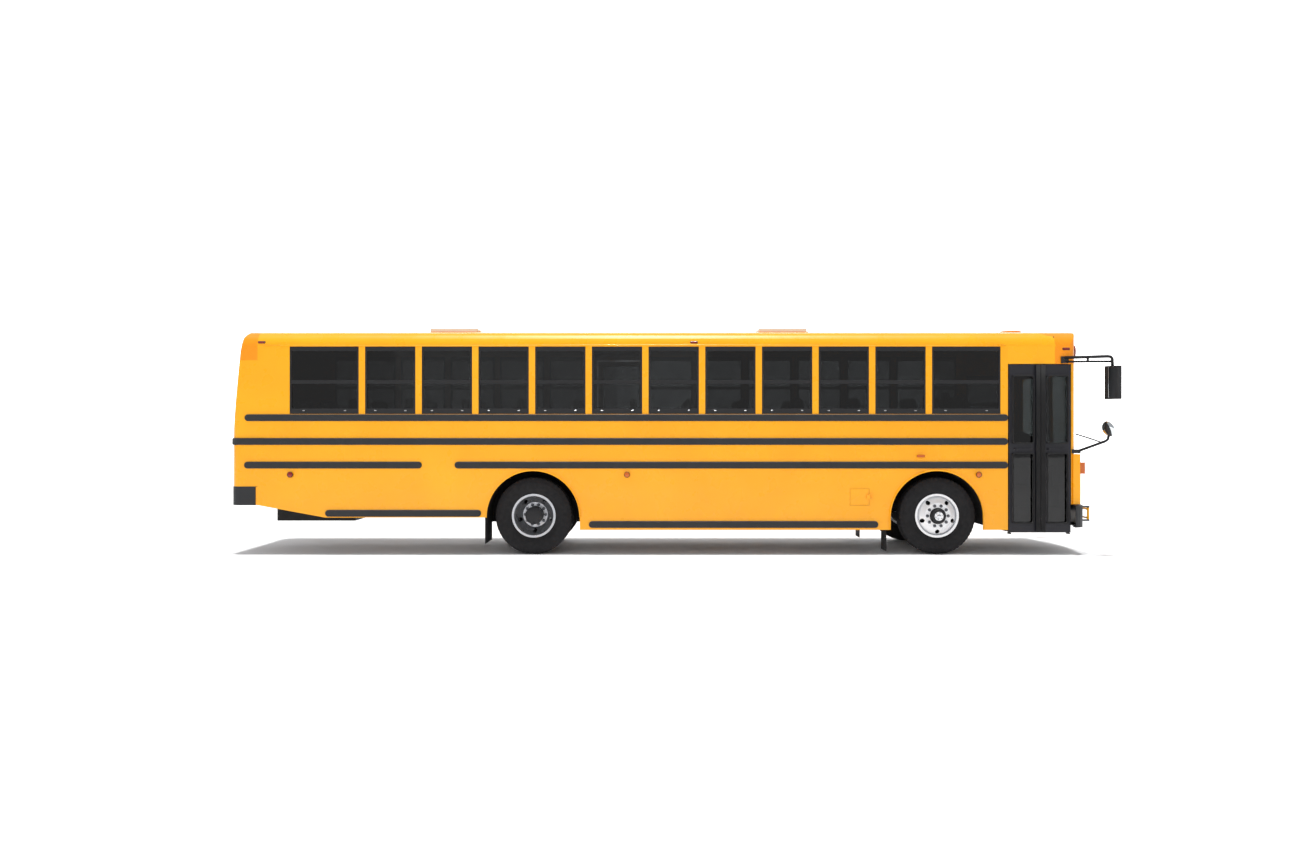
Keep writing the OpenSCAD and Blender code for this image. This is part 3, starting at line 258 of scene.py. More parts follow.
def enamel(name, colour, dull):
    """Sprayed enamel: even gloss over a fine orange peel of about 4 mm, a faint spread of
    shade over a metre, and road dust that dulls the lower metre."""
    made, tree, shader = new_material(name, colour, Roughness=0.3, IOR=1.5, Coat_Weight=0.25,
                                      Specular_IOR_Level=0.35, Coat_Roughness=0.08)
    shade = ramp(tree, object_noise(tree, 0.9), 0.3, 0.75, linear(colour), linear(dull))
    place = add(tree, "ShaderNodeTexCoord")
    split = add(tree, "ShaderNodeSeparateXYZ", [("Vector", place.outputs["Object"])])
    low = add(tree, "ShaderNodeMapRange", [("Value", split.outputs["Z"])], From_Min=1.0,
              From_Max=0.3, To_Min=0.0, To_Max=0.35)
    dust = calc(tree, "MULTIPLY", low.outputs[0], object_noise(tree, 0.12, 6))
    mix = add(tree, "ShaderNodeMix", [(0, dust), (6, shade)], data_type="RGBA")
    mix.inputs[7].default_value = linear("#c98f3a")
    tree.links.new(shader.inputs["Base Color"], mix.outputs[2])
    rough = ramp(tree, object_noise(tree, 0.25, 5), 0.3, 0.8, grey(0.24), grey(0.36))
    tree.links.new(shader.inputs["Roughness"], rough)
    bump(tree, shader, object_noise(tree, 0.004, 1), 0.00005, 0.35)
    return made


def paint_break(made, colour, sealant):
    """The line where the front cap's orange stops and the body colour goes on. It stands at
    CAP_LINE_X up the side and sweeps back by 4.4 * (z - 3.0) over the shoulder,
    under a 14 mm bead of black sealant; ahead of the line the paint is left as it was."""
    tree = made.node_tree
    shader = next(node for node in tree.nodes if node.type == "BSDF_PRINCIPLED")
    under = shader.inputs["Base Color"].links[0].from_socket
    place = add(tree, "ShaderNodeTexCoord")
    split = add(tree, "ShaderNodeSeparateXYZ", [("Vector", place.outputs["Object"])])
    sweep = add(tree, "ShaderNodeMapRange", [("Value", split.outputs["Z"])], From_Min=3.0,
                From_Max=3.08, To_Min=0.0, To_Max=0.35)
    along = calc(tree, "ADD", split.outputs["X"], sweep.outputs[0])
    behind = calc(tree, "MULTIPLY", calc(tree, "LESS_THAN", along, CAP_LINE_X),
                  calc(tree, "GREATER_THAN", split.outputs["X"], 0.0))
    bead = calc(tree, "MULTIPLY", calc(tree, "COMPARE", along, CAP_LINE_X, BEAD_HALF),
                calc(tree, "GREATER_THAN", split.outputs["Z"], BEAD_LOW_Z))
    for mask, tint in ((behind, colour), (bead, sealant)):
        mix = add(tree, "ShaderNodeMix", [(0, mask), (6, under)], data_type="RGBA")
        mix.inputs[7].default_value = linear(tint)
        under = mix.outputs[2]
    tree.links.new(shader.inputs["Base Color"], under)


yellow_enamel = enamel("yellow_enamel_on_steel", BODY_YELLOW, "#fba80d")
cap_enamel = enamel("orange_enamel_on_moulding", CAP_YELLOW, "#f8900a")
paint_break(cap_enamel, BODY_YELLOW, "#17120c")
dress(yellow_enamel, "left_side_wall", "right_side_wall", "left_skirt", "right_skirt", "roof",
      "rear_wall", "front_panel", "front_fascia", "emergency_door", "engine_door", "fuel_door")
dress(cap_enamel, "roof_caps")

# ---------------------------------------------------------------------------
# Windows.
# Tempered safety glass with a dark grey body tint, held in black coated
# aluminium sashes: the lower pane is fixed and the upper one slides down.


def tinted_glass(name, colour):
    """Tinted glass: light passes two faces, so the tint is the root of the pane's; a fine
    waviness of the tempering, about 80 mm across, moves the reflections."""
    made, tree, shader = new_material(name, colour, Roughness=0.02, IOR=1.5,
                                      Transmission_Weight=1.0, Specular_IOR_Level=0.18)
    bump(tree, shader, object_noise(tree, 0.08, 1), 0.0002, 0.15)
    return made


def coated_metal(name, colour, rough, grain_m=0.003):
    """Powder or paint coat on metal: satin, with a grain grain_m across."""
    made, tree, shader = new_material(name, colour, Roughness=rough, IOR=1.5)
    grain = object_noise(tree, grain_m, 2)
    tree.links.new(shader.inputs["Roughness"],
                   ramp(tree, object_noise(tree, 0.15, 4), 0.3, 0.75,
                        grey(rough - 0.06), grey(rough + 0.1)))
    bump(tree, shader, grain, 0.0001, 0.4)
    return made


side_glass = tinted_glass("dark_tempered_glass", "#3f4142")
clear_glass = tinted_glass("laminated_windscreen_glass", "#a9b3ae")
sash_coat = coated_metal("black_coated_aluminium", "#141416", 0.38)
dress(side_glass, "window_glass", "emergency_door_glass")
dress(tinted_glass("door_glass", "#3e4042"), "front_door_glass", "rear_door_glass")
dress(clear_glass, "windscreen")
dress(sash_coat, "window_frames", "arm_bases")

# ---------------------------------------------------------------------------
# Rub rails and bumpers.
# Roll-formed steel, riveted over the ribs and painted satin black, which
# looks dark slate where it catches the light.

rail_paint = coated_metal("satin_black_rail_paint", "#1f2124", 0.5)
dress(rail_paint, "rub_rails", "front_bumper", "rear_bumper")

# ---------------------------------------------------------------------------
# Underframe, engine, tanks and axles.
# Hot-rolled channel and castings under a thick black chassis paint that
# gathers road dust.

chassis_paint = coated_metal("dusty_chassis_paint", "#1d1c1b", 0.62, 0.006)
dress(chassis_paint, "frame_rails", "floor_sills", "front_axle", "rear_axle", "left_knuckle",
      "right_knuckle", "tie_rod", "engine", "fuel_tank", "battery_box")
liner_rubber = coated_metal("wheel_housing_undercoat", "#101012", 0.85, 0.008)
dress(liner_rubber, "wheel_housings", "mud_flaps")

# ---------------------------------------------------------------------------
# Floor, steps and dashboard.
# Ribbed black rubber sheet glued to plywood; the dashboard is grained ABS.


def ribbed_rubber(name, colour):
    """Rubber floor sheet with ribs 12 mm apart along the bus, worn a little lighter."""
    made, tree, shader = new_material(name, colour, Roughness=0.7)
    place = add(tree, "ShaderNodeTexCoord")
    ribs = add(tree, "ShaderNodeTexWave", [("Vector", place.outputs["Object"])],
               bands_direction="Y", Scale=1 / 0.012 / 6.28)
    tree.links.new(shader.inputs["Base Color"],
                   ramp(tree, object_noise(tree, 0.3, 5), 0.3, 0.8, linear(colour),
                        linear("#4b4a48")))
    bump(tree, shader, ribs.outputs["Fac"], 0.001, 0.8)
    return made


dress(ribbed_rubber("ribbed_floor_rubber", "#2c2d2f"), "floor_plate", "step_well")


def grained_plastic(name, colour, rough=0.5):
    """Moulded plastic with a leather-like grain of about 1.5 mm."""
    made, tree, shader = new_material(name, colour, Roughness=rough)
    place = add(tree, "ShaderNodeTexCoord")
    grain = add(tree, "ShaderNodeTexVoronoi", [("Vector", place.outputs["Object"])],
                Scale=1 / 0.0015)
    tree.links.new(shader.inputs["Roughness"],
                   ramp(tree, object_noise(tree, 0.1, 4), 0.3, 0.8, grey(rough - 0.08),
                        grey(rough + 0.1)))
    bump(tree, shader, grain.outputs["Distance"], 0.0002, 0.5)
    return made


dash_plastic = grained_plastic("grained_black_abs", "#1b1b1d")
dress(dash_plastic, "dashboard", "steering_wheel", "mirrors")

# ---------------------------------------------------------------------------
# Entrance door.
# Aluminium leaves sprayed very dark blue-black, each with two glazed panels
# and a wide rubber edge where the leaves meet.

door_paint = coated_metal("blue_black_door_paint", "#14141c", 0.42)
dress(door_paint, "front_door_leaf", "rear_door_leaf")

# ---------------------------------------------------------------------------
# Hatches, lamps and arms.
# Hatches are white moulded ABS; lamp lenses are coloured acrylic; the stop
# sign is reflective red sheet on aluminium, left blank.

hatch_plastic = grained_plastic("white_hatch_abs", "#e6e4df", 0.45)
dress(hatch_plastic, "front_roof_hatch", "rear_roof_hatch")


def lens(name, colour, rib_m=0.006):
    """Acrylic lens: clear gloss over moulded ribs rib_m apart that break up the light; that broken
    light is also painted in as shade, the colour falling to 0.6 of itself in bands that follow the
    ribs.
    """
    made, tree, shader = new_material(name, colour, Roughness=0.08, IOR=1.49, Coat_Weight=0.6,
                                      Coat_Roughness=0.03)
    place = add(tree, "ShaderNodeTexCoord")
    ribs = add(tree, "ShaderNodeTexWave", [("Vector", place.outputs["Object"])],
               bands_direction="Z", Scale=1 / rib_m / 6.28)
    # Painted shade: the base colour darkens to 0.6 in bands that follow the ribs.
    tree.links.new(shader.inputs["Base Color"],
                   ramp(tree, ribs.outputs["Fac"], 0.1, 0.9, linear(colour),
                        tuple(0.6 * c for c in linear(colour)[:3]) + (1,)))
    bump(tree, shader, ribs.outputs["Fac"], 0.0008, 0.6)
    return made


amber_lens = lens("amber_acrylic_lens", "#d9680c")
red_lens = lens("red_acrylic_lens", "#8f120c")
dress(lens("clear_acrylic_lens", "#dfe4e8"), "road_lamps")
dress(amber_lens, "turn_lamps")
dress(red_lens, "warning_lamps")
dress(coated_metal("red_sign_sheet", "#b8141a", 0.3), "stop_arm")
dress(coated_metal("yellow_arm_plastic", "#f0a818", 0.35), "crossing_arm")

# ---------------------------------------------------------------------------
# Rims.
# Front rims are machined and polished aluminium, rear rims are steel sprayed
# silver.


def bright_metal(name, colour, rough, metallic=1.0):
    """Bright metal with a fine grain of bumps about 2 mm across and light dulling."""
    made, tree, shader = new_material(name, colour, Roughness=rough, Metallic=metallic)
    tree.links.new(shader.inputs["Roughness"],
                   ramp(tree, object_noise(tree, 0.04, 5), 0.3, 0.8, grey(rough - 0.07),
                        grey(rough + 0.12)))
    bump(tree, shader, object_noise(tree, 0.002, 2), 0.00008, 0.3)
    return made


polished_rim = bright_metal("polished_aluminium", "#f2f3f5", 0.38, 0.35)
silver_rim = bright_metal("silver_painted_steel", "#c3c5c9", 0.32, 0.85)
dress(polished_rim, "front_left_rim", "front_right_rim")
dress(silver_rim, "rear_left_rims", "rear_right_rims")

# ---------------------------------------------------------------------------
# Tyres.
# Moulded black rubber, 280 mm wide: four straight grooves between the tread
# ribs, cut lugs on both shoulders and thin raised rings on the side walls.

TYRE_RADIUS, BEAD_RADIUS = 0.530, 0.2885
GROOVE_DEPTH, GROOVE_HALF = 0.013, 0.006
GROOVES = np.array([-0.072, -0.025, 0.025, 0.072])
LUGS = 56
front_axle = (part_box("front_left_tyre")[0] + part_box("front_left_tyre")[1]) / 2
rear_axle = (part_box("rear_left_tyres")[0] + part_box("rear_left_tyres")[1]) / 2
AXLE_X = {"front": front_axle.x, "rear": rear_axle.x}
AXLE_Z = front_axle.z
OUTER_TRACK = front_axle.y
INNER_TRACK = 2 * rear_axle.y - OUTER_TRACK

rubber, tree, shader = new_material("tyre_rubber", "#1c1c1e", Roughness=0.78,
                                    Specular_IOR_Level=0.3)
tree.links.new(shader.inputs["Base Color"],
               ramp(tree, object_noise(tree, 0.05, 5), 0.3, 0.8, linear("#161618"),
                    linear("#232223")))
bump(tree, shader, object_noise(tree, 0.0015, 2), 0.0001, 0.5)


def tyre_surface():
    """A closed section carried round the axle. The outline runs bead, side wall, shoulder,
    tread; the tread drops by the groove depth near each groove line, and the shoulder
    drops between lugs, where the sine of the lug angle is negative."""
    wall_r = BEAD_RADIUS + np.array([0, 0.014, 0.022, 0.05, 0.09, 0.13, 0.16, 0.175, 0.18,
                                     0.2, 0.215])
    wall_y = np.array([0.100, 0.1025, 0.106, 0.125, 0.138, 0.1385, 0.136, 0.137, 0.1345,
                       0.130, 0.124])
    edges = np.concatenate([[g - GROOVE_HALF - 0.001, g - GROOVE_HALF, g + GROOVE_HALF,
                             g + GROOVE_HALF + 0.001] for g in GROOVES])
    tread_y = np.sort(np.concatenate([edges, [-0.116, -0.102, -0.09, -0.05, 0, 0.05, 0.09, 0.102,
                                              0.116]]))
    in_groove = np.abs(tread_y[:, None] - GROOVES).min(1) < GROOVE_HALF + 0.0002
    crown = TYRE_RADIUS - 0.35 * tread_y**2 - 0.004 * (np.abs(tread_y) > 0.11)
    tread_r = crown - GROOVE_DEPTH * in_groove
    r = np.concatenate([wall_r, tread_r, wall_r[::-1], [BEAD_RADIUS, BEAD_RADIUS]])
    y = np.concatenate([-wall_y, tread_y, wall_y[::-1], [0.07, -0.07]])
    t = np.linspace(0, 2 * np.pi, LUGS * 4, endpoint=False)
    shoulder = (np.abs(y) > 0.08) & (r > BEAD_RADIUS + 0.195)
    side = np.where(y < 0, 0.0, np.pi / 2)
    gap = np.sin(LUGS * t[None] + side[:, None]) < -0.5
    radius = r[:, None] - 0.010 * (shoulder[:, None] & gap)
    points = np.stack([radius * np.cos(t), np.repeat(y[:, None], len(t), 1),
                       radius * np.sin(t)], -1).reshape(-1, 3)
    faces = grid_faces(len(r), len(t), True)
    last = (len(r) - 1) * len(t) + np.arange(len(t))
    closing = np.stack([last, np.roll(last, -1), np.roll(np.arange(len(t)), -1),
                        np.arange(len(t))], -1)
    return points, np.concatenate([faces, closing])


tyre_points, tyre_faces = tyre_surface()
for end in ("front", "rear"):
    for side, sign in (("left", 1), ("right", -1)):
        tracks = [OUTER_TRACK] if end == "front" else [OUTER_TRACK, INNER_TRACK]
        parts = [(tyre_points + (AXLE_X[end], sign * track, AXLE_Z), tyre_faces)
                 for track in tracks]
        name = f"{end}_{side}_tyre" + ("s" if end == "rear" else "")
        tyre = mesh_piece(f"{name}_tread", *joined(parts), rubber, f"{end}_{side}_wheel")
        tyre.data.set_sharp_from_angle(angle=math.radians(35))
        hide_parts(name)

# ---------------------------------------------------------------------------
# Wheel nuts and hubs.
# Ten plated hexagon nuts on a 285.75 mm circle. The front hub is black with a
# bright cap, the rear hub a dark casting that fills the dish.

NUT_CIRCLE_R, NUT_FLAT, NUT_HIGH = 0.142875, 0.033, 0.026
plated_steel = bright_metal("zinc_plated_steel", "#6b6d72", 0.35)
# Near-black: the real colour of the hubs, and on the brake drum also painted shade behind the hand
# holes.
hub_paint_and_drum_shade = coated_metal("dark_hub_paint", "#0e0e12", 0.45)
bright_cap = bright_metal("chromed_cap", "#dfe2e6", 0.08)


def nuts_ring(face_y, circle=NUT_CIRCLE_R, flat=NUT_FLAT, high=NUT_HIGH, count=10, turn=0.0):
    """Hexagon nuts with a chamfered top, a washer below and the stud's end above, placed
    round the axle on a circle: each is a turned profile of six sides."""
    corner = flat / 2 / math.cos(math.pi / 6)
    nut = turned([(0.0001, 0), (flat * 0.72, 0), (flat * 0.72, 0.004), (corner, 0.0041),
                  (corner, high - 0.003), (flat * 0.44, high), (0.0001, high)], 6)
    stud = turned([(0.0001, high), (0.0105, high), (0.0105, high + 0.009), (0.009, high + 0.011),
                   (0.0001, high + 0.011)], 10)
    places = []
    for k in range(count):
        a = turn + 2 * math.pi * k / count
        at = (circle * math.cos(a), face_y, circle * math.sin(a))
        places += [(nut[0] + at, nut[1]), (stud[0] + at, stud[1])]
    return joined(places)


def on_wheel(points, end, sign):
    """Moves points drawn round the axle of the left side to a wheel; sign -1 mirrors them."""
    return points * (1, sign, 1) + (AXLE_X[end], 0, AXLE_Z)


def outward(faces, sign):
    """Mirrored faces are wound the other way round."""
    return faces if sign > 0 else faces[:, ::-1]


FRONT_FACE_Y = OUTER_TRACK + 0.158
REAR_FACE_Y = (OUTER_TRACK + INNER_TRACK) / 2 + 0.018
for side, sign in (("left", 1), ("right", -1)):
    for end, face_y in (("front", FRONT_FACE_Y), ("rear", REAR_FACE_Y)):
        points, faces = nuts_ring(face_y)
        ring = mesh_piece(f"{end}_{side}_wheel_nuts", on_wheel(points, end, sign),
                          outward(faces, sign), plated_steel, f"{end}_{side}_wheel", False)
    y = FRONT_FACE_Y
    hub = turned([(0.0001, y), (0.112, y), (0.112, y + 0.010), (0.106, y + 0.018),
                  (0.098, y + 0.060), (0.092, y + 0.068), (0.06, y + 0.070),
                  (0.0001, y + 0.070)], 48)
    hub_piece = mesh_piece(f"front_{side}_hub", on_wheel(hub[0], "front", sign),
                           outward(hub[1], sign), hub_paint_and_drum_shade, f"front_{side}_wheel")
    hub_piece.data.set_sharp_from_angle(angle=math.radians(30))
    cap = turned([(0.0001, y + 0.069), (0.030, y + 0.069), (0.029, y + 0.077), (0.025, y + 0.081),
                  (0.014, y + 0.083), (0.0001, y + 0.0835)], 48)
    bolts = nuts_ring(y + 0.069, 0.047, 0.017, 0.006, 6, 0.3)
    # A brake drum in the near-black hub paint, with a thin flange out to 268 mm just behind the
    # hand holes: partly the real drum, partly painted shade, a dark sheet that makes the holes
    # read dark.
    drum_with_shade_sheet = turned([(0.09, 1.0705), (0.207, 1.0705), (0.207, 0.9735), (0.268, 0.9735),
                   (0.268, 0.9705), (0.206, 0.9705), (0.206, 0.9700), (0.09, 0.9700)])
    drum_with_shade_sheet_piece = mesh_piece(f"front_{side}_brake_drum", on_wheel(drum_with_shade_sheet[0], "front", sign),
                            outward(drum_with_shade_sheet[1], sign), hub_paint_and_drum_shade, f"front_{side}_wheel")
    drum_with_shade_sheet_piece.data.set_sharp_from_angle(angle=math.radians(30))
    cap_piece = mesh_piece(f"front_{side}_hub_cap",
                           on_wheel(joined([cap, bolts])[0], "front", sign),
                           outward(joined([cap, bolts])[1], sign), bright_cap,
                           f"front_{side}_wheel")
    y = REAR_FACE_Y
    hub = turned([(0.0001, y), (0.118, y), (0.118, y + 0.02), (0.112, y + 0.03),
                  (0.112, y + 0.20), (0.122, y + 0.203), (0.122, y + 0.218), (0.1, y + 0.224),
                  (0.06, y + 0.228), (0.0001, y + 0.228)], 48)
    bolts = nuts_ring(y + 0.218, 0.107, 0.016, 0.011, 8)
    hub_piece = mesh_piece(f"rear_{side}_hub",
                           on_wheel(joined([hub, bolts])[0], "rear", sign),
                           outward(joined([hub, bolts])[1], sign), hub_paint_and_drum_shade,
                           f"rear_{side}_wheel")
    hub_piece.data.set_sharp_from_angle(angle=math.radians(30))

# ---------------------------------------------------------------------------
# Seats.
# Foam pads in green-grey vinyl over a steel frame: a cushion and a tall leaning
# back for each bench, sewn round the edge and dimpled by their own weight.

vinyl, tree, shader = new_material("seat_vinyl", "#3c4748", Roughness=0.55)
tree.links.new(shader.inputs["Base Color"],
               ramp(tree, object_noise(tree, 0.12, 4), 0.3, 0.75, linear("#364142"),
                    linear("#445152")))
bump(tree, shader, object_noise(tree, 0.0028, 3), 0.00035, 0.7)

dress(coated_metal("black_tube_enamel", "#1e2022", 0.35), "seat_frames")

BENCH_COUNT_RIGHT, BENCH_COUNT_LEFT = 12, 10
SEAT_PITCH = 0.778
SEAT_X0 = -5.230
PAD_IN, PAD_OUT = 0.225, 1.171


def pad_shell(size, rise, seams=0, across=22, along=34):
    """A closed pillow of the given size about the origin: top and bottom are grids whose
    edges follow a rounded rectangle, and the height is a superellipse of the distance to
    the edge, raised by a crown and pressed down at each stitched line."""
    u, v = np.meshgrid(np.linspace(-1, 1, across), np.linspace(-1, 1, along), indexing="ij")
    edge = np.maximum(np.abs(u), np.abs(v))
    fall = (1 - edge ** 12) ** (1 / 3.0)
    round_off = 1 - 0.045 * (u * v) ** 2
    height = size[2] / 2 * (0.30 + 0.70 * fall) + rise * (1 - u**2) * (1 - v**2)
    for k in range(seams):
        line = -1 + 2 * (k + 1) / (seams + 1)
        height -= 0.006 * np.exp(-((v - line) / 0.03) ** 2)
    x, y = size[0] / 2 * u * round_off, size[1] / 2 * v * round_off
    top = np.stack([x, y, height], -1).reshape(-1, 3)
    low = np.stack([x, y, -np.maximum(height - rise, size[2] * 0.15)], -1).reshape(-1, 3)
    faces = grid_faces(across, along, False)
    ids = np.arange(across * along).reshape(across, along)
    rim = np.concatenate([ids[:, 0], ids[-1, 1:], ids[-2::-1, -1], ids[0, -2:0:-1]])
    nxt = np.roll(rim, -1)
    count = across * along
    belt = np.stack([rim, nxt, nxt + count, rim + count], -1)
    return (np.concatenate([top, low]),
            np.concatenate([faces, faces[:, ::-1] + count, belt[:, ::-1]]))


def swell(points, faces, voxel, cap_m):
    """Foam pressing on its cover: the closed shape is remeshed in even cells, blown up a
    little by a cloth simulation, and no point moves further than the cap."""
    work = mesh_piece("pad_work", points, faces, vinyl, "root")
    scene = bpy.context.scene
    shape = work.modifiers.new("even_cells", "REMESH")
    shape.mode, shape.voxel_size = "VOXEL", voxel
    graph = bpy.context.evaluated_depsgraph_get()
    even = bpy.data.meshes.new_from_object(work.evaluated_get(graph))
    work.modifiers.clear()
    work.data = even
    start = np.empty(len(even.vertices) * 3)
    even.vertices.foreach_get("co", start)
    cloth = work.modifiers.new("cover", "CLOTH")
    cloth.settings.use_pressure = True
    cloth.settings.uniform_pressure_force = 4
    cloth.settings.quality = 5
    cloth.settings.effector_weights.gravity = 0
    cloth.point_cache.frame_start, cloth.point_cache.frame_end = 1, 20
    for step in range(1, 21):
        scene.frame_set(step)
    graph = bpy.context.evaluated_depsgraph_get()
    blown = bpy.data.meshes.new_from_object(work.evaluated_get(graph))
    end = np.empty(len(blown.vertices) * 3)
    blown.vertices.foreach_get("co", end)
    work.modifiers.clear()
    scene.frame_set(1)
    start, end = start.reshape(-1, 3), end.reshape(-1, 3)
    move = end - start
    far = np.linalg.norm(move, axis=1, keepdims=True)
    end = start + move * np.minimum(1, cap_m / np.maximum(far, 1e-9))
    sides = np.empty(len(even.loops), dtype=np.int64)
    even.loops.foreach_get("vertex_index", sides)
    starts = np.empty(len(even.polygons), dtype=np.int64)
    even.polygons.foreach_get("loop_start", starts)
    quads = sides[starts[:, None] + np.arange(4)]
    bpy.data.objects.remove(work)
    return end, quads


def piping(width, length, z, bead=0.005, n=96):
    """Welt round a pad: a round cord carried along a superellipse outline in the XY plane,
    |x/a|^8 + |y/b|^8 = 1, its section a circle turned with the outline."""
    t = np.linspace(0, 2 * np.pi, n, endpoint=False)
    radius = (np.abs(np.cos(t)) ** 8 + np.abs(np.sin(t)) ** 8) ** (-1 / 8)
    path = np.stack([radius * np.cos(t) * width / 2, radius * np.sin(t) * length / 2], -1)
    along = np.roll(path, -1, 0) - np.roll(path, 1, 0)
    along /= np.linalg.norm(along, axis=1, keepdims=True)
    out = np.stack([along[:, 1], -along[:, 0]], -1)
    s = np.linspace(0, 2 * np.pi, 6, endpoint=False)
    ring = path[:, None] + out[:, None] * np.cos(s)[None, :, None] * bead
    high = np.repeat((z + bead * np.sin(s))[None], n, 0)
    points = np.concatenate([ring, high[..., None]], -1).reshape(-1, 3)
    i, j = np.meshgrid(np.arange(n), np.arange(6), indexing="ij")
    i2, j2 = (i + 1) % n, (j + 1) % 6
    faces = np.stack([i * 6 + j, i * 6 + j2, i2 * 6 + j2, i2 * 6 + j], -1).reshape(-1, 4)
    return points, faces


def leaned(points, angle):
    """Stands a pad up on edge, its face towards +X, and leans its top back by an angle:
    (x, y, z) goes to (z, y, -x), then turns about Y."""
    up = np.stack([points[:, 2], points[:, 1], -points[:, 0]], -1)
    c, s = math.cos(angle), math.sin(angle)
    return np.stack([up[:, 0] * c - up[:, 2] * s, up[:, 1], up[:, 0] * s + up[:, 2] * c], -1)


cushion = swell(*pad_shell((0.392, 0.930, 0.098), 0.006), 0.016, 0.007)
cushion = joined([cushion, piping(0.397, 0.937, 0.0)])
back = swell(*pad_shell((0.548, 0.930, 0.072), 0.003, 2), 0.016, 0.006)
back = joined([back, piping(0.552, 0.936, 0.0)])
back = (leaned(back[0], math.radians(4.6)), back[1])
PAD_MIDDLE_Y = (PAD_IN + PAD_OUT) / 2
for side, sign, count in (("right", -1, BENCH_COUNT_RIGHT), ("left", 1, BENCH_COUNT_LEFT)):
    for k in range(count):
        x = SEAT_X0 + SEAT_PITCH * k
        pads = joined([(cushion[0] + (x + 0.2975, sign * PAD_MIDDLE_Y, 1.575), cushion[1]),
                       (back[0] + (x + 0.028, sign * PAD_MIDDLE_Y, 1.880), back[1])])
        bench = mesh_piece(f"bench_{side}_{k + 1}", *pads, vinyl, "root")
        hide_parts("seat_cushions")

# ---------------------------------------------------------------------------
# Barriers in front of the first benches.
# A padded panel of the same vinyl on each side of the aisle, on two posts.

BARRIER_X0, BARRIER_X1 = 4.026, 4.106
BARRIER_Z0, BARRIER_Z1 = 1.500, 2.200
panel = swell(*pad_shell((BARRIER_Z1 - BARRIER_Z0 - 0.014, 0.930, 0.068), 0.002, 0), 0.016, 0.005)
panel = joined([panel, piping(BARRIER_Z1 - BARRIER_Z0 - 0.008, 0.936, 0.0)])
panel = (leaned(panel[0], 0.0), panel[1])
for side, sign in (("right", -1), ("left", 1)):
    middle = ((BARRIER_X0 + BARRIER_X1) / 2, sign * PAD_MIDDLE_Y, (BARRIER_Z0 + BARRIER_Z1) / 2)
    barrier = mesh_piece(f"barrier_{side}", panel[0] + middle, panel[1], vinyl, "root")
    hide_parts("seat_cushions")

# ---------------------------------------------------------------------------
# Driver's seat.
# A thick woven cushion and a high back with a headrest, on a black pedestal
# that holds its air spring and slides.

weave, tree, shader = new_material("woven_seat_fabric", "#2b2d31", Roughness=0.9)
tree.links.new(shader.inputs["Base Color"],
               ramp(tree, object_noise(tree, 0.003, 3), 0.35, 0.7, linear("#222428"),
                    linear("#3a3d42")))
bump(tree, shader, object_noise(tree, 0.002, 2), 0.0003, 0.8)

driver_low, driver_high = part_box("driver_seat")
driver_mid = (driver_low + driver_high) / 2
LEAN = math.radians(7.5)
seat = swell(*pad_shell((0.445, 0.465, 0.112), 0.010, 0), 0.012, 0.010)
seat = joined([seat, piping(0.450, 0.470, -0.01)])
rest = swell(*pad_shell((0.575, 0.440, 0.090), 0.010, 2), 0.012, 0.008)
rest = joined([rest, piping(0.580, 0.445, 0.0)])
head = swell(*pad_shell((0.150, 0.290, 0.080), 0.008, 0), 0.010, 0.006)
rest_at = (driver_low.x + 0.105, driver_mid.y, driver_low.z + 0.118 + 0.305)
head_at = (driver_low.x + 0.058, driver_mid.y, driver_high.z - 0.080)
pads = joined([(seat[0] + (driver_high.x - 0.228, driver_mid.y, driver_low.z + 0.059), seat[1]),
               (leaned(rest[0], LEAN) + rest_at, rest[1]),
               (leaned(head[0], LEAN) + head_at, head[1])])
driver = mesh_piece("driver_seat_pads", *pads, weave, "root")
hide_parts("driver_seat")

# ---------------------------------------------------------------------------
# Side marker lamps and their bezels.
# Small sealed lamps screwed to the walls: red at the back, amber ahead, with
# a rectangular one over the front wheel.


def box_shell(low, high, round_m=0.004):
    """A closed box with its twelve edges cut at 45 degrees: each face is drawn in by the
    round and the eight corners become triangles."""
    low, high = np.array(low, float), np.array(high, float)
    mid, half = (low + high) / 2, (high - low) / 2
    signs = np.array([[sx, sy, sz] for sx in (-1, 1) for sy in (-1, 1) for sz in (-1, 1)])
    inset = half - round_m
    points = np.concatenate([mid + signs * np.array([half[0], inset[1], inset[2]]),
                             mid + signs * np.array([inset[0], half[1], inset[2]]),
                             mid + signs * np.array([inset[0], inset[1], half[2]])])
    faces = [[0, 1, 3, 2], [4, 6, 7, 5], [8, 12, 13, 9], [10, 11, 15, 14],
             [16, 18, 22, 20], [17, 21, 23, 19],
             [0, 8, 9, 1], [2, 3, 11, 10], [4, 5, 13, 12], [6, 14, 15, 7],
             [0, 2, 18, 16], [1, 17, 19, 3], [4, 20, 22, 6], [5, 7, 23, 21],
             [8, 16, 20, 12], [9, 13, 21, 17], [10, 14, 22, 18], [11, 19, 23, 15],
             [0, 16, 8, 8], [1, 9, 17, 17], [2, 10, 18, 18], [3, 19, 11, 11],
             [4, 12, 20, 20], [5, 21, 13, 13], [6, 22, 14, 14], [7, 15, 23, 23]]
    return points, np.array(faces)


def round_lamp(radius, high):
    """A domed lens on a flat bezel, turned about Y with its back at y = 0: the dome's
    height falls with the square of the distance from the middle."""
    rim = [(0.0001, 0), (radius, 0), (radius, high * 0.45), (radius * 0.93, high * 0.6)]
    dome = [(radius * q, high * (1 - 0.4 * q * q)) for q in (0.8, 0.6, 0.4, 0.2)]
    return turned(rim + dome + [(0.0001, high)], 40)


def on_wall(shape, x, y, z, side):
    """Puts a shape made on the plane y = 0, facing +Y, on the left wall or, mirrored, on
    the right one."""
    points, faces = shape
    sign = 1 if side == "left" else -1
    placed = points * (1, sign, 1) + (x, sign * y, z)
    return placed, (faces if sign > 0 else faces[:, ::-1])


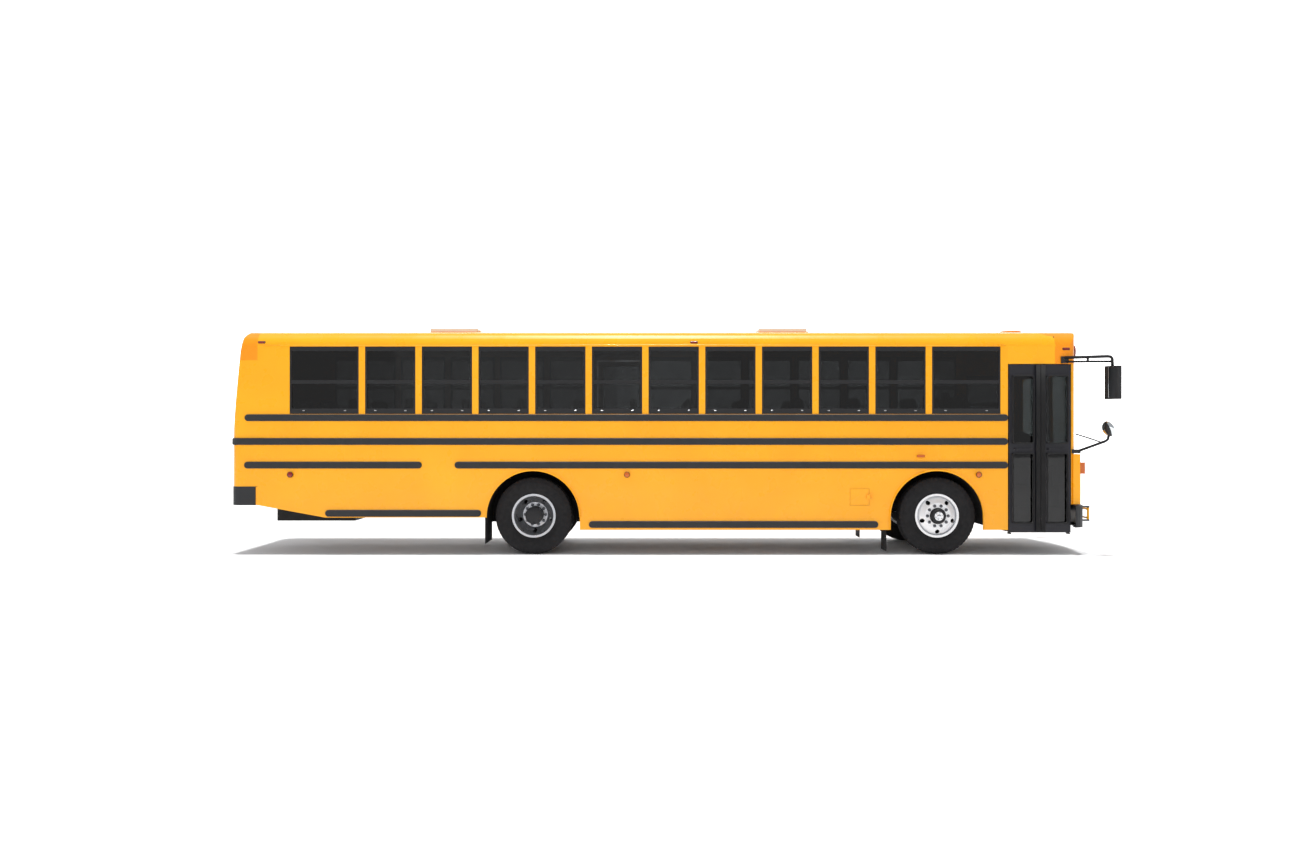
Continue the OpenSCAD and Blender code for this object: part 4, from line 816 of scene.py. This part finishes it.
WALL_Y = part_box("left_side_wall")[1].y
bezel_black = coated_metal("black_lamp_bezel", "#141416", 0.4)
round_places = [("red", -5.235, 1.100), ("amber", -0.621, 1.100), ("amber", 4.200, 1.100)]
for side in ("left", "right"):
    for number, (colour, x, z) in enumerate(round_places):
        lens_part = round_lamp(0.034, 0.020)
        lens_material = red_lens if colour == "red" else amber_lens
        lamp = mesh_piece(f"marker_{side}_{number + 1}", *on_wall(lens_part, x, WALL_Y, z, side),
                          lens_material)
        ring = turned([(0.035, 0), (0.041, 0), (0.041, 0.006), (0.035, 0.009), (0.035, 0)], 40)
        mesh_piece(f"marker_bezel_{side}_{number + 1}", *on_wall(ring, x, WALL_Y, z, side),
                   bezel_black)
    flat = box_shell((-0.055, 0, -0.018), (0.055, 0.018, 0.018), 0.006)
    lamp = mesh_piece(f"side_turn_lamp_{side}", *on_wall(flat, 3.404, WALL_Y, 1.355, side),
                      amber_lens, smooth=False)

# ---------------------------------------------------------------------------
# Entrance door rubbers.
# Extruded black rubber: a glazing strip round each of the four panes and a
# wide bulb seal down the edge where the two leaves meet.


def tube(path, radius, flat=1.0, sides=8, across=(0, 1, 0), loop=False):
    """A cord carried along a path. At each point the section is a circle in the plane of
    `across` and of the direction square to both it and the path, squashed by `flat` along
    `across`. An open one ends in a point at each end."""
    path, across = np.asarray(path, float), np.asarray(across, float)
    if loop:
        way = np.roll(path, -1, 0) - np.roll(path, 1, 0)
    else:
        way = np.gradient(path, axis=0)
    way /= np.linalg.norm(way, axis=1, keepdims=True)
    side = np.cross(way, across)
    side /= np.linalg.norm(side, axis=1, keepdims=True)
    up = np.cross(side, way)
    a = np.linspace(0, 2 * np.pi, sides, endpoint=False)
    size = np.full(len(path), radius)
    if not loop:
        path = np.concatenate([path[:1], path, path[-1:]])
        side, up = side[[0, *range(len(side)), -1]], up[[0, *range(len(up)), -1]]
        size = np.concatenate([[1e-5], size, [1e-5]])
    points = (path[:, None] + size[:, None, None] * (side[:, None] * np.cos(a)[None, :, None]
              + flat * up[:, None] * np.sin(a)[None, :, None])).reshape(-1, 3)
    faces = grid_faces(len(path), sides, True)
    if loop:
        last, first = (len(path) - 1) * sides + np.arange(sides), np.arange(sides)
        faces = np.concatenate([faces, np.stack([last, np.roll(last, -1), np.roll(first, -1),
                                                 first], -1)])
    return points, faces[:, ::-1]


def rounded_frame(x0, x1, z0, z1, y, corner, n=6):
    """Points round a rectangle in the XZ plane whose corners are quarter circles."""
    a = np.linspace(0, np.pi / 2, n)
    middles = [(x1 - corner, z1 - corner), (x0 + corner, z1 - corner),
               (x0 + corner, z0 + corner), (x1 - corner, z0 + corner)]
    arcs = [np.stack([cx + corner * np.cos(a + k * np.pi / 2), np.full(n, y),
                      cz + corner * np.sin(a + k * np.pi / 2)], -1)
            for k, (cx, cz) in enumerate(middles)]
    return np.concatenate(arcs)


door_rubber = coated_metal("black_extruded_rubber", "#0d0d0f", 0.7)
LEAF_OUT_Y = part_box("rear_door_leaf")[0].y
leaf_low, leaf_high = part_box("rear_door_leaf")[0].z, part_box("rear_door_leaf")[1].z
PANES_Z = [(0.436, 1.393), (1.529, 2.455)]
LEAVES = {"rear_door_leaf": ((4.662, 4.951), (4.979, 5.038)),
          "front_door_leaf": ((5.133, 5.422), (5.046, 5.105))}
for leaf, ((pane_x0, pane_x1), (seal_x0, seal_x1)) in LEAVES.items():
    strips = [tube(rounded_frame(pane_x0, pane_x1, z0, z1, LEAF_OUT_Y + 0.004, 0.035), 0.011,
                   0.5, loop=True) for z0, z1 in PANES_Z]
    glazing = mesh_piece(f"{leaf}_glazing_strips", *joined(strips), door_rubber, leaf)
    rib_x = np.linspace(seal_x0 + 0.008, seal_x1 - 0.008, 4)
    bulbs = [tube([(x, LEAF_OUT_Y, z) for z in np.linspace(leaf_low + 0.01, leaf_high - 0.01, 5)],
                  0.0085, 0.8, 8) for x in rib_x]
    bulb = mesh_piece(f"{leaf}_edge_seal", *joined(bulbs), door_rubber, leaf)

# ---------------------------------------------------------------------------
# Wheel arch lips.
# The skirt sheet is rolled over a wire round each arch, painted with it.

for side, sign in (("left", 1), ("right", -1)):
    for end, middle_x, lip_low in (("front", 3.628, 0.345), ("rear", AXLE_X["rear"], 0.512)):
        a = np.linspace(0, np.pi, 49)
        arc = np.stack([middle_x + 0.643 * np.cos(a), np.full(49, sign * (WALL_Y - 0.001)),
                        0.515 + 0.643 * np.sin(a)], -1)
        legs = arc[[0, -1]].copy()
        legs[:, 2] = (lip_low, lip_low if end == "front" else 0.512)
        path = np.concatenate([legs[:1], arc, legs[1:]]) if end == "front" else arc
        lip = mesh_piece(f"arch_lip_{end}_{side}", *tube(path, 0.009, 0.8), yellow_enamel)

# ---------------------------------------------------------------------------
# Drip rails.
# A thin folded gutter over the windows on each side, painted with the body.

for side, sign in (("left", 1), ("right", -1)):
    run = [(x, sign * (WALL_Y + 0.004), 2.872 + 0.004 * math.cos(x)) for x in
           np.linspace(-5.60, 4.56, 24)]
    gutter = mesh_piece(f"drip_rail_{side}", *tube(run, 0.008, 0.9), yellow_enamel)

# ---------------------------------------------------------------------------
# Window latches.
# Two nickel-plated pinch latches on the bottom rail of each sliding sash.

nickel = bright_metal("nickel_plated_zinc", "#b9bbbd", 0.3)
SASH_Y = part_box("window_frames")[1].y
windows_x = [(-5.250, -4.302)] + [(-4.215 + 0.778 * k, -3.524 + 0.778 * k) for k in range(10)]
windows_x += [(3.565, 4.505)]
for side, sign in (("left", 1), ("right", -1)):
    latches = []
    for x0, x1 in windows_x:
        if side == "left" and -1.3 < (x0 + x1) / 2 < -0.3:
            continue
        for x in (x0 + 0.2 * (x1 - x0), x1 - 0.2 * (x1 - x0)):
            latches.append(box_shell((x - 0.016, sign * SASH_Y - 0.004, 1.972),
                                     (x + 0.016, sign * SASH_Y + 0.004, 1.984), 0.002))
    mesh_piece(f"window_latches_{side}", *joined(latches), nickel, smooth=False)

# ---------------------------------------------------------------------------
# Mirror glass.
# Silvered flat glass in the tall heads and a chromed convex dome on the round
# cross-view heads.

silvered = bright_metal("silvered_mirror_glass", "#dde3e6", 0.04)


def turned_about_z(points, degrees):
    """Turns points about Z."""
    c, s = math.cos(math.radians(degrees)), math.sin(math.radians(degrees))
    return np.stack([points[:, 0] * c - points[:, 1] * s, points[:, 0] * s + points[:, 1] * c,
                     points[:, 2]], -1)


for side, sign in (("left", 1), ("right", -1)):
    plate, plate_faces = box_shell((-0.0425, -0.108, -0.205), (-0.0385, 0.108, 0.205), 0.0015)
    plate = turned_about_z(plate, 30) + (5.960, 1.450, 2.355)
    dome, dome_faces = turned([(0.0001, 0.0632)] + [(0.1105 * math.cos(a), 0.0632 * math.sin(a))
                              for a in np.radians([75, 60, 45, 30, 15, 4])], 40)
    dome = np.stack([dome[:, 0], dome[:, 2], dome[:, 1]], -1)
    c, s = math.cos(math.radians(-110)), math.sin(math.radians(-110))
    dome = np.stack([dome[:, 0] * c + dome[:, 2] * s, dome[:, 1],
                     -dome[:, 0] * s + dome[:, 2] * c], -1)
    dome = turned_about_z(dome, -25) + (5.945, 1.340, 1.730)
    points, faces = joined([(plate, plate_faces), (dome, dome_faces)])
    mesh_piece(f"mirror_glass_{side}", points * (1, sign, 1), faces[:, ::sign], silvered)

# ---------------------------------------------------------------------------
# Wipers.
# Two pressed steel arms in black, each with a rubber blade parked along the
# foot of the windscreen.

for side, sign in (("left", 1), ("right", -1)):
    ys = np.linspace(0.14, 0.80, 12)
    glass_x = 5.635 - ys**2 / (2 * 8.314)
    blade = tube(np.stack([glass_x + 0.010, sign * ys, np.full(12, 1.575)], -1), 0.008, 1.0, 8,
                 (1, 0, 0))
    arm_y = np.linspace(0.88, 0.47, 6)
    arm = tube(np.stack([5.635 - arm_y**2 / 16.6 + 0.024, sign * arm_y,
                         np.linspace(1.455, 1.578, 6)], -1), 0.008, 0.6, 8, (1, 0, 0))
    hub = turned([(0.0001, -0.03), (0.018, -0.03), (0.018, 0.028), (0.012, 0.034),
                  (0.0001, 0.036)], 24)
    hub = (np.stack([hub[0][:, 1] + 5.588, hub[0][:, 0] + sign * 0.88, hub[0][:, 2] + 1.455], -1),
           hub[1][:, ::-1])
    wiper = mesh_piece(f"wiper_{side}", *joined([blade, arm, hub]), bezel_black)

# ---------------------------------------------------------------------------
# Mirror arms.
# Bent steel tube in black powder coat, 40 mm for the arms that carry the heads
# and thinner for the lower brace and the stay.

powder_black = coated_metal("black_powder_coat", "#0c0c0e", 0.65)
for side, sign in (("left", 1), ("right", -1)):
    top = tube([(5.380, sign * 1.236, 2.704), (5.60, sign * 1.315, 2.706),
                (5.900, sign * 1.426, 2.711), (5.934, sign * 1.438, 2.704),
                (5.950, sign * 1.445, 2.680), (5.955, sign * 1.448, 2.560)], 0.020, 1.0, 12)
    brace = tube([(5.380, sign * 1.236, 2.648), (5.70, sign * 1.350, 2.645),
                  (5.946, sign * 1.441, 2.640)], 0.014, 1.0, 10)
    cross = tube([(5.570, sign * 1.194, 1.420), (5.75, sign * 1.251, 1.492),
                  (5.915, sign * 1.302, 1.560), (5.942, sign * 1.312, 1.585),
                  (5.950, sign * 1.320, 1.630), (5.955, sign * 1.330, 1.720)], 0.018, 1.0, 12)
    stay = tube([(5.540, sign * 1.185, 1.660), (5.70, sign * 1.235, 1.605),
                 (5.860, sign * 1.286, 1.545)], 0.009, 1.0, 8)
    tie = tube([(5.66, sign * 1.337, 2.640), (5.66, sign * 1.337, 2.675),
                (5.66, sign * 1.337, 2.710)], 0.016, 1.0, 10)
    arms = mesh_piece(f"mirror_arms_{side}", *joined([top, brace, cross, stay, tie]),
                      powder_black)

# ---------------------------------------------------------------------------
# Roof-side lamps.
# Low red lenses in black boots along the shoulder of the roof and one on the
# side of each front cap.

for side in ("left", "right"):
    for number, (x, y, z) in enumerate(((-5.635, 1.200, 2.914), (0.299, 1.200, 2.914),
                                        (5.405, 1.206, 2.825))):
        lens_part = box_shell((-0.042, 0.004, -0.011), (0.042, 0.026, 0.011), 0.005)
        lamp = mesh_piece(f"roof_side_lamp_{side}_{number + 1}",
                          *on_wall(lens_part, x, y, z, side), red_lens, smooth=False)
        boot = box_shell((-0.052, 0, -0.018), (0.052, 0.019, 0.018), 0.006)
        boot = mesh_piece(f"roof_side_boot_{side}_{number + 1}", *on_wall(boot, x, y, z, side),
                          bezel_black, smooth=False)

# ---------------------------------------------------------------------------
# Lamp rims.
# Rolled rings that clamp the round lenses: plated on the headlamps, black on
# the warning lamps and the lamps at the back.

rings = {"plated": [(5.700, 0.64, 0.900, 0.094), (5.672, 0.88, 0.900, 0.094)],
         "black": [(5.636, 0.56, 2.810, 0.099), (5.620, 0.80, 2.810, 0.099),
                   (-5.950, 0.56, 2.810, 0.099), (-5.950, 0.80, 2.810, 0.099),
                   (-6.053, 0.96, 1.250, 0.094), (-6.053, 0.76, 1.250, 0.094),
                   (-6.053, 0.96, 1.030, 0.064), (-6.053, 0.76, 1.030, 0.064)]}
for finish, places in rings.items():
    a = np.linspace(0, 2 * np.pi, 48, endpoint=False)
    loops = [tube(np.stack([np.full(48, x), sign * y + r * np.cos(a), z + r * np.sin(a)], -1),
                  0.009, 1.3, 10, (1, 0, 0), loop=True)
             for x, y, z, r in places for sign in (1, -1)]
    rim = mesh_piece(f"lamp_rims_{finish}", *joined(loops),
                     nickel if finish == "plated" else bezel_black)

# ---------------------------------------------------------------------------
# Border of the stop sign.
# A white reflective band folded over the sheet just inside the edge of the
# octagon, on both faces; the middle stays blank.

sheeting = coated_metal("white_reflective_sheeting", "#e9e9e4", 0.35)
SIGN_HALF, BORDER_AT = 0.225, 0.222
sign_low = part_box("stop_arm")[0]
corner = np.radians(np.arange(8) * 45 + 22.5)
edge = []
for a, b in zip(corner, np.roll(corner, -1)):
    for t in (0.04, 0.35, 0.65, 0.96):
        edge.append(((1 - t) * np.cos(a) + t * np.cos(b), 0, (1 - t) * np.sin(a) + t * np.sin(b)))
edge = np.array(edge) * BORDER_AT + (sign_low.x + SIGN_HALF, WALL_Y + 0.044, 1.551)
border = mesh_piece("stop_sign_border", *tube(edge, 0.009, 0.45, 8, loop=True), sheeting,
                    "stop_arm", smooth=False)
